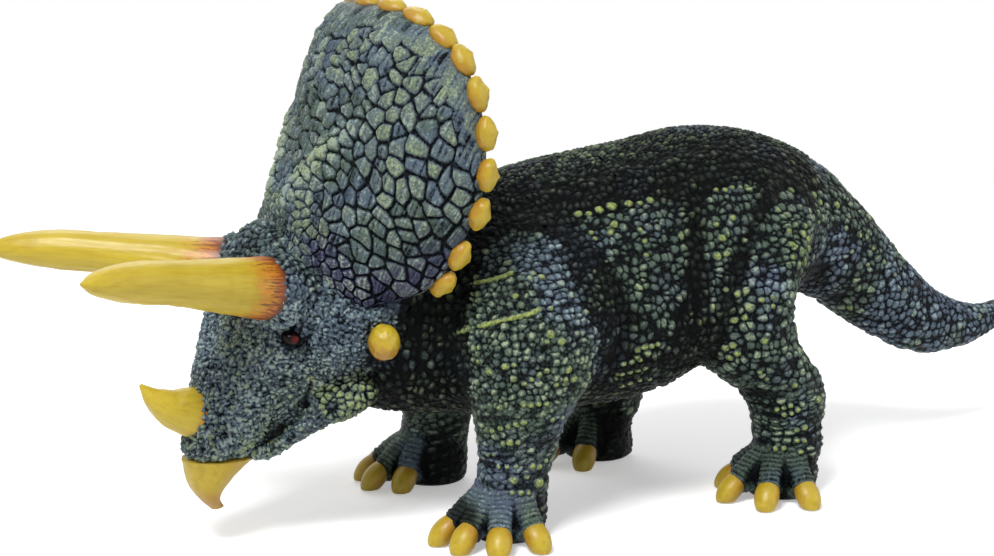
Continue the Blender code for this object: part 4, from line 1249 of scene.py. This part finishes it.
def painted_skin(name):
    """Slate paint with a dark wash between the pebbles, pale slate and moss dry-brush paint with
    painted highlight on their tops, yellow-green on some of them, and near-black airbrushed paint
    and painted shade over all."""
    paint = Paint(name)
    brushed = paint.attribute("brushed")
    lime = paint.attribute("lime")
    dark = paint.attribute("dark")
    blue = paint.attribute("blue")
    violet = paint.attribute("violet")
    pale = paint.attribute("pale")
    grain = paint.noise(1500.0, 3.0, 0.65)
    streak = paint.noise(640.0, 4.0, 0.7)
    tone = paint.step(0.25, 0.75, blue + 1.2 * (streak - 0.5))
    body = paint.mix(tone, MOSS, SLATE)
    body = paint.mix(violet, body, PURPLE)
    fleck = paint.mix(tone, PALE_MOSS, PALE_SLATE)
    body = paint.mix(pale, body, fleck)
    depth = paint.step(0.0, 0.40, brushed + 0.7 * (grain - 0.5))
    skin_colour = paint.mix(depth, WASH, body)
    # Pale flecks on the raised tops: dry-brush paint and painted highlight
    light = paint.step(0.45, 1.0, brushed + 1.7 * (grain - 0.5) + 0.9 * (streak - 0.5))
    skin_colour = paint.mix(light * 0.88, skin_colour, fleck)
    green = paint.step(0.08, 0.90, lime + 0.5 * (grain - 0.5) * lime + 1.1 * (streak - 0.5) * lime)
    green_tone = paint.mix(paint.step(0.35, 0.65, grain), DEEP_LIME, LIME)
    skin_colour = paint.mix(green * 0.85, skin_colour, green_tone)
    # Near-black airbrushed paint and painted shade
    spray_and_shade = paint.step(0.10, 0.95, dark + 0.6 * (streak - 0.5) * dark - 0.40 * brushed)
    skin_colour = paint.mix(spray_and_shade * 0.92, skin_colour, SPRAY_AND_SHADE)
    roughness = 0.16 + 0.26 * grain
    bump = grain + 0.8 * streak
    return paint.finish(skin_colour, roughness, bump, 1.0, 0.00036, Specular_IOR_Level=0.05)


def finished(piece, look, node=None):
    """Gives a piece its paint and its body, and hides the solid that it stands for."""
    piece.data.materials.append(look)
    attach(piece, "root")
    if node:
        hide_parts(node)


skin_paint = painted_skin("painted_skin")
skin_values = {
    "brushed": np.clip(relief.brushed, 0, 1),
    "lime": relief.lime,
    "violet": 0.35 * soft_step(0.1, 0.7, drift(skin, 0.009, 167, 2)),
    "dark": relief.dark,
    "blue": relief.blue,
}


def skin_pieces():
    """Each moulding's share of the skin, the trunk's in a front and a rear half."""
    half = (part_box("trunk")[0][0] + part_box("trunk")[1][0]) / 2
    centre = shaped[skin_faces[:, 0], 0]
    face_owner = owner[skin_faces[:, 0]]
    for index, node in enumerate(SKIN_NODES):
        chosen = face_owner == index
        if node == "trunk":
            ahead = centre < half
            parts = (("skin_trunk_front", chosen & ahead), ("skin_trunk_rear", chosen & ~ahead))
        else:
            parts = (("skin_" + node, chosen),)
        for name, faces in parts:
            piece = cut_piece(name, skin_faces[faces], shaped, shaped_normals, skin_values)
            finished(piece, skin_paint, node)


skin_pieces()


def painted_horn(name):
    """Ochre paint with a faint lengthwise grain, orange toward the root with thin rust-red
    strokes that run out from it, and a ragged dark rim. Place is 0 at the root and 1 at the tip."""
    paint = Paint(name)
    place = paint.attribute("place")
    grain_way = paint.node("Attribute", {"attribute_name": "grain"}, 1)
    grain = paint.noise(1.0, 4.0, 0.6, grain_way)
    stroke = paint.noise(2.1, 5.0, 0.75, grain_way)
    blot = paint.noise(260.0, 3.0, 0.6)
    paint_colour = paint.mix(paint.step(0.35, 0.75, grain) * 0.55, OCHRE, DEEP_OCHRE)
    warm = paint.step(0.26, 0.05, place + 0.25 * (blot - 0.5) + 0.35 * (stroke - 0.5))
    paint_colour = paint.mix(warm * 0.75, paint_colour, ORANGE)
    red = paint.step(0.56, 0.64, stroke + 0.24 * paint.step(0.30, 0.04, place) - 0.10)
    paint_colour = paint.mix(red * paint.step(0.32, 0.22, place) * 0.85, paint_colour, RUST)
    rim = paint.step(0.075, 0.045, place + 0.22 * (stroke - 0.5))
    paint_colour = paint.mix(rim * 0.85, paint_colour, WASH)
    roughness = 0.30 + 0.22 * grain
    return paint.finish(paint_colour, roughness, grain + stroke, 0.25, 0.0002)


def painted_claw(name):
    """Ochre paint with blots of deeper ochre, orange-brown and yellow-green, and a thin dark
    line at the skin. Place is 0 at the skin."""
    paint = Paint(name)
    place = paint.attribute("place")
    grain = paint.noise(420.0, 4.0, 0.6)
    spot = paint.noise(1500.0, 2.0, 0.5)
    paint_colour = paint.mix(paint.step(0.30, 0.70, grain) * 0.8, OCHRE, DEEP_OCHRE)
    warm = paint.step(0.80, 0.30, place + 1.3 * (grain - 0.5))
    paint_colour = paint.mix(warm * 0.6, paint_colour, BROWN)
    paint_colour = paint.mix(paint.step(0.58, 0.80, grain) * 0.5, paint_colour, LIME)
    dark = paint.step(0.12, 0.0, place + 0.12 * (grain - 0.5))
    paint_colour = paint.mix(dark * 0.8, paint_colour, RUST)
    return paint.finish(paint_colour, 0.32 + 0.2 * grain, grain + 0.4 * spot, 0.3, 0.0002)


def glossy_eye(name):
    """Dark brown, with a red-brown iris where the ball points outward, under a thin gloss.
    Place is 0 there."""
    paint = Paint(name)
    place = paint.attribute("place")
    blot = paint.noise(900.0, 3.0, 0.6)
    iris = paint.mix(blot, colour(112, 34, 32), colour(58, 18, 15))
    look = paint.mix(paint.step(0.12, 0.50, place), iris, colour(22, 12, 10))
    return paint.finish(look, 0.16 + 0.1 * blot, None, Specular_IOR_Level=0.12)


horn_paint = painted_horn("ochre_horn")
claw_paint = painted_claw("ochre_claw")
eye_paint = glossy_eye("eye_gloss")


def tube_grid(path, radii, sideways, columns):
    """Rings round a path: each stands square to it, with one axis along the given side way."""
    heading = np.gradient(path, axis=0)
    rise = np.cross(heading, sideways)
    rise /= np.linalg.norm(rise, axis=1, keepdims=True)
    turns = np.linspace(0, 2 * np.pi, columns, endpoint=False)
    out = np.cos(turns)[None, :, None] * sideways + np.sin(turns)[None, :, None] * rise[:, None]
    return path[:, None] + out * radii[..., None]


def horn(name, base, tip, radius, profile, sag, node):
    """A horn from its table: a chord from base to tip, bent down by its sag, with lengthwise
    striations whose height is layered noise of the way round, and a swelling at the root."""
    rows, columns = 170, 96
    place = np.linspace(-HORN_SINK_SHARE, 1.0, rows)
    place[place > 0.9] = 1 - (1 - place[place > 0.9]) ** 1.5 / 0.1**0.5
    table = through(profile, np.linspace(0, 1, 400))
    radii = np.interp(place, table[:, 0], table[:, 1]) * radius
    dips = np.interp(place, table[:, 0], table[:, 2]) * sag
    chord = tip - base
    length = np.linalg.norm(chord)
    along = chord / length
    sideways = np.cross([0.0, 0.0, 1.0], along)
    sideways /= np.linalg.norm(sideways)
    path = base + place[:, None] * chord - dips[:, None] * length * np.cross(along, sideways)
    turns = np.linspace(0, 2 * np.pi, columns, endpoint=False)
    around = np.stack([np.cos(turns), np.sin(turns)], -1)[None] * radii[:, None, None]
    run = np.broadcast_to(place[:, None, None] * length, (rows, columns, 1))
    flat = np.concatenate([run, np.broadcast_to(around, (rows, columns, 2))], -1).reshape(-1, 3)
    ribs = drift(flat * (0.10, 1, 1), 0.0011, 211, 3).reshape(rows, columns)
    waves = drift(flat * (1, 0.3, 0.3), 0.0030, 223, 2).reshape(rows, columns)
    fade = soft_step(1.0, 0.75, place)[:, None]
    bulge = 0.10 * hill(place, 0.10)[:, None]
    width = radii[:, None] * (1 + bulge) + fade * (0.00011 * ribs + 0.00009 * waves)
    piece = closed_tube(name, tube_grid(path, width, sideways, columns))
    grain = np.vstack([flat * (60, 900, 900), flat[:1], flat[-1:]])
    spot = np.repeat(place, columns)
    mark(piece, place=np.append(spot, [place[0], 1.0]), grain=grain)
    finished(piece, horn_paint, node)


def horns():
    """The two brow horns and the nose horn, from the part's own places and tables."""
    for side, word, rise, sag in ((-1, "left", 0.205, -0.012), (1, "right", 0.100, -0.022)):
        base, run = brow_horn(side, rise)
        name, node = "horn_over_eye_" + word, "brow_horn_" + word
        horn(name, base, base + run, BROW_HORN_RADIUS, brow_horn_shares, sag, node)
    base = on_head(nose_horn_root_shares)
    tip = base + NOSE_HORN_LENGTH * np.array(nose_horn_way)
    horn("horn_on_nose", base, tip, NOSE_HORN_RADIUS, nose_horn_shares, 0.10, "nose_horn")


def beak():
    """The hooked beak: level ellipses from its flat top down to the tip, set by its table."""
    rows, columns = 110, 72
    place = np.linspace(0, 1, rows)
    front, fall, rear, drop, half = through(beak_shares, place).T
    start = on_head(beak_root_shares)
    ahead = start + np.stack([front * BEAK_LENGTH, 0 * fall, fall * BEAK_HEIGHT], -1)
    behind = start + np.stack([rear * BEAK_LENGTH, 0 * drop, drop * BEAK_HEIGHT], -1)
    turns = np.linspace(0, 2 * np.pi, columns, endpoint=False)
    long, wide = (ahead - behind) / 2, np.stack([0 * half, half * BEAK_WIDTH, 0 * half], -1)
    grid = ((ahead + behind) / 2)[:, None] + np.cos(turns)[None, :, None] * long[:, None]
    grid = grid + np.sin(turns)[None, :, None] * wide[:, None]
    middle = grid.mean(axis=1, keepdims=True)
    grid = roughened(grid, middle, 0.004, 0.00010, 0.0014, 307, (1, 1, 0.4))
    piece = closed_tube("beak_hook", grid)
    everywhere = capped_points(grid)
    rear_side = soft_step(-0.004, -0.0105, everywhere[:, 0] - start[0] - 0.016)
    top = start[2] - everywhere[:, 2]
    # Painted highlight on the upper rear of the beak
    painted_highlight_rear = 0.25 * rear_side * soft_step(0.010, 0.004, top)
    tone = 0.60 - 0.45 * soft_step(0.007, 0.014, top) + painted_highlight_rear
    mark(piece, place=tone, grain=everywhere * (900, 900, 140))
    finished(piece, claw_paint, "beak")


def egg_grid(centre, axes, rows=40, columns=48, point=0.0):
    """Points of an egg round its third axis, whose far end is drawn out to a blunt point: the
    radius is the sine of the polar angle to the power one plus the point toward that end."""
    polar = np.linspace(0.02, np.pi - 0.02, rows)
    turns = np.linspace(0, 2 * np.pi, columns, endpoint=False)
    far = soft_step(0.0, 1.0, np.cos(polar))
    radius = np.sin(polar) ** (1 + point * far)
    first, second, third = np.array(axes)
    grid = centre + np.cos(turns)[None, :, None] * radius[:, None, None] * first
    grid = grid + np.sin(turns)[None, :, None] * radius[:, None, None] * second
    return grid + np.cos(polar)[:, None, None] * third


def claws():
    """The broad nails of each foot, drawn out to a blunt point at the top and flat where they
    stand on the ground."""
    for leg in foot_shares:
        grids, places = [], []
        for out, across, toe, toe_axes, nail, nail_axes in toe_places(leg):
            grid = egg_grid(nail, nail_axes, point=0.45)
            forward = (grid - nail) @ out / NAIL_LENGTH
            grid[..., 2] = np.maximum(grid[..., 2], 0.0)
            grids.append(grid)
            aside = np.abs((grid - nail) @ across) / NAIL_WIDTH
            places.append(0.62 + 0.50 * forward - 0.25 * aside)
        finished(merged("claws_" + leg, grids, places), claw_paint)


def cheek_bosses():
    """A blunt cone out of each cheek."""
    for word, side in (("left", -1), ("right", 1)):
        centre, half = solid_box("cheek_horn_" + word)
        axes = ((half[0], 0, 0), (0, 0, half[2]), (0, side * half[1], 0))
        grid = egg_grid(centre, axes, 56, 64, 0.35)
        grid = roughened(grid, centre, half.mean(), 0.00024, 0.0016, 331)
        above, outward_share = ((grid - centre) / half)[..., [2, 1]].transpose(2, 0, 1)
        place = 0.42 + 0.50 * above + 0.30 * side * outward_share
        piece = merged("cheek_boss_" + word, [grid], [place])
        finished(piece, claw_paint, "cheek_horn_" + word)


def eyes():
    """A glossy ball in each socket, flattened and slanted, with its iris outward."""
    for word, side in (("left", -1), ("right", 1)):
        centre, half = solid_box("eye_" + word)
        along, up = (half[0], 0, -0.2 * half[2]), (0.1 * half[0], 0, 0.68 * half[2])
        grid = egg_grid(centre, (along, up, (0, side * half[1], 0)))
        place = np.linalg.norm((grid - centre - (0, side * half[1], 0)) / half, axis=-1)
        piece = merged("eyeball_" + word, [grid], [place])
        finished(piece, eye_paint, "eye_" + word)


# The frill's own surface: how far it is sampled, its ridge, and the sizes of its plates
FRILL_ROOT_REACH = 0.05
FRILL_THINNING = 0.45
STUD_FOOT_ROW = 0.94
frill_ridge = (
    (-0.0912, -0.0047, 0.0894), (-0.0871, -0.0084, 0.0968), (-0.0836, -0.0131, 0.1023),
    (-0.0803, -0.0174, 0.1067),
)
PLATE_SIZE = 0.0045
PLATE_HEIGHT = 0.00100
RIDGE_HEIGHT = 0.0017


def frill_front(rows, columns):
    """The frill's front for places from root (0) to edge (1) and from one end (-1) to the other
    (1): straight from root to edge and swelled forward. Returns it and the way it faces."""
    mirror = np.array([1.0, -1.0, 1.0])
    edge, root = np.array(frill_edge_shares), np.array(frill_root_shares)
    edge = np.vstack([(edge * mirror)[:0:-1], edge]) * (FRILL_HEIGHT, FRILL_WIDTH / 2, FRILL_HEIGHT)
    root = np.vstack([(root * mirror)[:0:-1], root]) * (HEAD_LENGTH, HEAD_WIDTH / 2, HEAD_LENGTH)
    edge = through(edge, (columns + 1) / 2) + CROWN
    root = through(root, (columns + 1) / 2) + CROWN
    sheet = root + rows[:, None, None] * (edge - root)
    facing = np.array(frill_facing_shares)
    wide = np.linspace(-1.4, 1.4, 561)
    ways = np.stack([np.interp(np.abs(wide), facing[:, 0], facing[:, i]) for i in (1, 2, 3)], 1)
    ways[:, 1] *= np.sign(wide)
    eased = np.stack([np.convolve(ways[:, i], np.hanning(81) / 40, "same") for i in range(3)], 1)
    outward_way = np.stack([np.interp(columns, wide, eased[:, i]) for i in range(3)], 1)
    outward_way /= np.linalg.norm(outward_way, axis=1, keepdims=True)
    middle = FRILL_BULGE_SHARE * (1 - columns**2) + FRILL_SIDE_BULGE_SHARE * columns**2
    swell = np.sin(np.pi * np.clip(rows, 0, 1) ** FRILL_BULGE_POWER)[:, None]
    swell = swell * middle * FRILL_HEIGHT
    return sheet + outward_way * swell[:, :, None], np.broadcast_to(outward_way, sheet.shape)


def spread_seeds(points, sizes, count):
    """Seed points spread evenly over a surface: each next one is the point that is farthest, in
    its own size, from all before it, with a small chance factor."""
    luck = 0.86 + 0.28 * chance(np.arange(len(points))[:, None], 401)
    nearest = np.full(len(points), 9.0)
    picked = [len(points) // 3]
    for _ in range(count - 1):
        gap = np.linalg.norm(points - points[picked[-1]], axis=1) / sizes
        nearest = np.minimum(nearest, gap)
        picked.append(int(np.argmax(nearest * luck)))
    return np.array(picked)


def plates(points, ways, sizes, count):
    """Plates round evenly spread seeds: how near the closest border of two plates is in plate
    sizes, each plate's number, and the place in it. Plates are longer along the given ways."""
    flat, way = points.reshape(-1, 3), ways.reshape(-1, 3)
    size = sizes.ravel()
    some = np.arange(0, len(flat), 7)
    seeds = some[spread_seeds(flat[some], size[some], count)]
    near = np.full(len(flat), 99.0)
    second = near.copy()
    number = np.zeros(len(flat))
    tilt = np.zeros(len(flat))
    for index, seed in enumerate(seeds):
        gap = flat - flat[seed]
        along = (gap * way).sum(axis=1)
        apart = np.sqrt(np.maximum((gap * gap).sum(axis=1) - 0.58 * along**2, 0)) / size[seed]
        closer = apart < near
        second = np.where(closer, near, np.minimum(second, apart))
        luck = chance(np.array([[index, 3], [index, 5]]), 409)
        number = np.where(closer, luck[0], number)
        tilt = np.where(closer, (luck[1] - 0.5) * along / size[seed], tilt)
        near = np.minimum(near, apart)
    shape = points.shape[:2]
    return (second - near).reshape(shape), number.reshape(shape), tilt.reshape(shape)


def thinned(row):
    """The frill's thickness at a place from root to edge, as a share of that at its root."""
    return 1 - FRILL_THINNING * row**4


def rounded(places, start, length):
    """1 up to the start, and from there a quarter ellipse down to 0 after the length."""
    return np.sqrt(np.clip(1 - (np.clip(places - start, 0, 1) / length) ** 2, 0, 1))


def ridge_gap(points):
    """How far points lie from the ridge that runs up each side of the frill's middle."""
    line = np.array(frill_ridge)
    return np.minimum(polyline_gap(points * (1, -1, 1), line)[0], polyline_gap(points, line)[0])


def frill_sheet(rows, columns, face, count):
    """The front (face 1) or the back (-1) of the frill with its plates: its points, how much paint
    a brush leaves on them, with lighter plate edges and a painted highlight along the ridge in
    front, the numbers of their plates, and the rows."""
    front, ways = frill_front(rows, columns)
    rim = thinned(np.clip(rows, 0, 1))
    end = rounded(np.abs(columns), 0.965, 0.035)
    centre = front - ways * (FRILL_THICKNESS / 2 * rim)[:, None, None]
    half = (rounded(rows, 0.955, 0.045) * rim)[:, None] * end * FRILL_THICKNESS / 2
    surface = centre + face * ways * half[..., None]
    lean = np.radians(34) * np.clip((surface[..., 2:] - 0.104) / 0.013, -1, 1)
    sideways = (0.893 + 0 * columns, 0.451 * np.clip(4 * columns, -1, 1), 0 * columns)
    length_way = np.cos(lean) * (0, 0, 1) + np.sin(lean) * np.stack(sideways, -1)
    spot = surface.reshape(-1, 3)
    size = (0.66 + 0.20 * soft_step(0.10, 0.60, np.abs(columns)))[None] * PLATE_SIZE
    growth = 0.55 + 0.35 * soft_step(0.04, 0.24, rows) + 0.10 * soft_step(0.2, 0.75, rows)
    bent = (spot + bend(spot, 0.0065, range(421, 424), 2) * 0.0010).reshape(surface.shape)
    border, number, tilt = plates(bent, length_way, size * growth[:, None], count)
    bare = soft_step(0.87, 0.94, rows)[:, None] * soft_step(0.62, 0.50, np.abs(columns)) * 0.8
    border = border + bare * (0.45 - border)
    across = (columns[None] * (0.25 + 0.75 * rows[:, None]) / 0.0065).ravel()
    upward = (rows[:, None] * 6 + 0 * columns).ravel()
    scratch = drift(np.stack([across, upward], 1), 1.0, 431, 3).reshape(number.shape)
    dent = drift(spot, 0.0016, 433, 2).reshape(number.shape)
    top = soft_step(0.07, 0.27, border)
    fade = soft_step(-0.01, 0.05, rows)[:, None] * soft_step(1.0, 0.95, rows)[:, None]
    rise = top * (0.60 + 0.40 * number) + 0.45 * np.sqrt(np.clip(border, 0, 1)) + 0.7 * tilt
    height = (PLATE_HEIGHT * rise + 0.00026 * scratch * top + 0.00014 * dent) * fade
    brushed = 0.22 + 0.36 * number + 0.26 * scratch - 0.16 * bare
    if face > 0:
        # A raised ridge on the front, with a painted highlight along it
        gap = ridge_gap(spot).reshape(height.shape)
        height = height + RIDGE_HEIGHT * hill(gap, 0.0028) * fade
        brushed = brushed + 0.60 * hill(gap, 0.0030)
    brushed = top * brushed + 0.18 * hill(border - 0.30, 0.12)
    return surface + ways * (height * face * end)[..., None], brushed, number, rows


def frill():
    """The frill: one closed loop of points round each of many sections, up the front, over the
    rounded rim and down the back. Both faces carry plates parted by narrow grooves."""
    columns = np.linspace(-1, 1, 440)
    columns = columns * (1.06 - 0.06 * columns**2)
    front = frill_sheet(np.linspace(-FRILL_ROOT_REACH, 1, 150), columns, 1, 540)
    back = frill_sheet(np.linspace(1, -FRILL_ROOT_REACH, 64), columns, -1, 300)
    grid = np.concatenate([front[0], back[0]], axis=0).transpose(1, 0, 2)
    piece = closed_tube("frill_plates", np.ascontiguousarray(grid))
    return piece, (front, back), columns


def frill_paint_values(piece, sheets, columns):
    """Which parts of the frill's plates carry dry-brush paint with painted highlight, lime and
    blue, and how dark they are.
    """
    spot, brushed, number, rows = (np.concatenate(values, axis=0) for values in zip(*sheets))
    brushed, number = np.clip(brushed, 0, 1).T, number.T
    rows = rows[None] + 0 * brushed
    flat = spot.transpose(1, 0, 2).reshape(-1, 3)
    patch = drift(flat, 0.014, 443, 2).reshape(rows.shape)
    limed = soft_step(-0.35, 0.75, patch + 0.8 * (number - 0.5)) * soft_step(0.1, 0.4, brushed)
    ridge = hill(ridge_gap(flat), 0.0030).reshape(rows.shape)
    # Lime along the ridge: dry-brush paint and painted highlight
    lime = np.maximum(0.46 * limed, 0.72 * ridge * soft_step(0.2, 0.7, brushed))
    low = hill(rows - 0.07, 0.10) * soft_step(0.25, 0.55, np.abs(columns)[:, None])
    low = np.maximum(low, soft_step(0.68, 0.84, np.abs(columns))[:, None])
    values = {
        "brushed": brushed, "lime": lime, "violet": 0.85 * low + 0.25 * (number > 0.75),
        "pale": 0.08 * soft_step(0.12, 0.40, rows) * number, "dark": 0.36 * low,
        "blue": 0.42 + 0.5 * soft_step(-0.3, 0.5, patch),
    }
    last = {"brushed": 0.5, "lime": 0.0, "violet": 0.0, "pale": 0.0, "dark": 0.2, "blue": 1.0}
    mark(piece, **{key: np.append(value.ravel(), [last[key]] * 2) for key, value in values.items()})


def studs():
    """The ochre studs round the frill's edge: eggs that are drawn out to a blunt tip."""
    steps = np.linspace(-1, 1, 2 * len(frill_edge_shares) - 1)
    front, ways = frill_front(np.array([STUD_FOOT_ROW, 1.0]), steps)
    centre = front[1] - ways[1] * FRILL_THICKNESS / 2 * thinned(1)
    below = front[0] - ways[0] * FRILL_THICKNESS / 2 * thinned(STUD_FOOT_ROW)
    rise = (centre - below) / np.linalg.norm(centre - below, axis=1, keepdims=True)
    along = np.gradient(centre, axis=0)
    along /= np.linalg.norm(along, axis=1, keepdims=True)
    middle = len(steps) // 2
    grids, places = [], []
    for at in range(middle - STUDS_PER_SIDE, middle + STUDS_PER_SIDE + 1):
        flat_way = np.cross(along[at], ways[0][at])
        flat_way *= np.sign(flat_way @ rise[at]) / np.linalg.norm(flat_way)
        place = at - middle
        low = soft_step(2.0, 7.0, abs(place))
        third = rise[at] * (1 - low) + flat_way * low
        third *= 0.80 * STUD_RISE / 2 / np.linalg.norm(third)
        thick = ways[0][at] * STUD_THICKNESS * (0.50 + 0.08 * low)
        axes = (along[at] * STUD_LENGTH * 0.66, thick, third)
        shift = np.sign(place) * STUD_LENGTH * STUD_SHIFT_SHARE
        stud = centre[at] - rise[at] * STUD_RISE * STUD_SINK_SHARE - along[at] * shift
        stud = stud + 0.25 * third + (ways[0][at] * 0.0020 + flat_way * 0.0004) * low
        grid = egg_grid(stud, axes, 36, 40, 1.5)
        grid = roughened(grid, stud, STUD_LENGTH / 2, 0.00022, 0.0015, 449)
        grids.append(grid)
        places.append(0.62 + 0.40 * ((grid - stud) @ third) / (third @ third))
    finished(merged("frill_studs", grids, places), claw_paint)


horns()
beak()
claws()
cheek_bosses()
eyes()
frill_piece, frill_sheets, frill_columns = frill()
frill_paint_values(frill_piece, frill_sheets, frill_columns)
finished(frill_piece, skin_paint, "frill_shield")
studs()


def camera():
    """The photograph's viewing place: the target plus the distance along the way back."""
    turn, rise = CAMERA_TURN, CAMERA_RISE
    level = math.cos(rise)
    back = np.array([math.sin(turn) * level, -math.cos(turn) * level, math.sin(rise)])
    data = bpy.data.cameras.new("camera")
    data.lens = CAMERA_LENS
    data.sensor_width = SENSOR
    data.clip_start = 0.01
    made = bpy.data.objects.new("camera", data)
    made.location = CAMERA_TARGET + CAMERA_DISTANCE * back
    made.rotation_euler = (math.pi / 2 - rise, 0.0, turn)
    bpy.context.scene.collection.objects.link(made)
    bpy.context.scene.camera = made


def lamp(name, place, size, power):
    """A soft square lamp that looks at the figure's middle."""
    data = bpy.data.lights.new(name, "AREA")
    data.shape = "SQUARE"
    data.size = size
    data.energy = power
    made = bpy.data.objects.new(name, data)
    made.location = place
    way = CAMERA_TARGET - np.array(place)
    flat = math.hypot(way[0], way[1])
    made.rotation_euler = (math.atan2(flat, -way[2]), 0.0, math.atan2(way[1], way[0]) - math.pi / 2)
    bpy.context.scene.collection.objects.link(made)


# The stage: an open pale floor that fades out, a white world, and three lamps, each with its
# name, place, size and power
WHITE = (1.0, 1.0, 1.0, 1.0)
BLACK = (0.0, 0.0, 0.0, 1.0)
FLOOR_GREY = (0.95, 0.95, 0.95, 1.0)
FLOOR_GLOW = (0.38, 0.38, 0.38, 1.0)
FLOOR_REACH = 6.0
FLOOR_DROP = 0.0004
floor_fade = (0.55, 0.30)
WORLD_STRENGTH = 0.32
lamps = (
    ("key", (-0.70, -0.62, 1.25), 0.45, 20.0),
    ("fill", (0.9, -0.7, 0.5), 0.9, 3.2),
    ("back", (0.2, 0.9, 0.9), 0.8, 4.0),
)


def seen_directly(nodes):
    """1 for what the camera sees by itself, in a gloss or through glass, and otherwise 0."""
    rays = ("Is Camera Ray", "Is Glossy Ray", "Is Transmission Ray")
    camera_ray, glossy_ray, through_ray = (nodes.node("LightPath", None, ray) for ray in rays)
    return camera_ray + glossy_ray + through_ray


def floor():
    """A plain pale floor, white to the camera where no shadow falls on it."""
    points = np.array([[-1, -1, 0], [1, -1, 0], [1, 1, 0], [-1, 1, 0]]) * FLOOR_REACH
    made = mesh_object("floor", points - (0, 0, FLOOR_DROP), np.array([[0, 1, 2, 3]]))
    paint = Paint("floor")
    glow = paint.mix(seen_directly(paint), BLACK, FLOOR_GLOW)
    away = paint.node("VectorMath", {"operation": "LENGTH"}, "Value", n0=paint.place())
    paint.feed(paint.shader.inputs["Alpha"], paint.step(*floor_fade, away))
    paint.feed(paint.shader.inputs["Emission Color"], glow)
    paint.shader.inputs["Emission Strength"].default_value = 1.0
    made.data.materials.append(paint.finish(FLOOR_GREY, 0.9))
    made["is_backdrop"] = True


def sky():
    """White behind the figure and in its gloss, and a dimmer light from all round."""
    world = bpy.data.worlds.new("world")
    bpy.context.scene.world = world
    world.use_nodes = True
    nodes = Nodes(world.node_tree)
    dim = nodes.tree.nodes["Background"]
    dim.inputs["Color"].default_value = WHITE
    dim.inputs["Strength"].default_value = WORLD_STRENGTH
    white = nodes.node("Background", Color=WHITE)
    dim_link = Link(nodes, dim.outputs[0])
    either = nodes.node("MixShader", n0=seen_directly(nodes), n1=dim_link, n2=white)
    nodes.feed(nodes.tree.nodes["World Output"].inputs["Surface"], either)


camera()
floor()
sky()
for settings in lamps:
    lamp(*settings)
bpy.context.scene.view_settings.view_transform = "Standard"
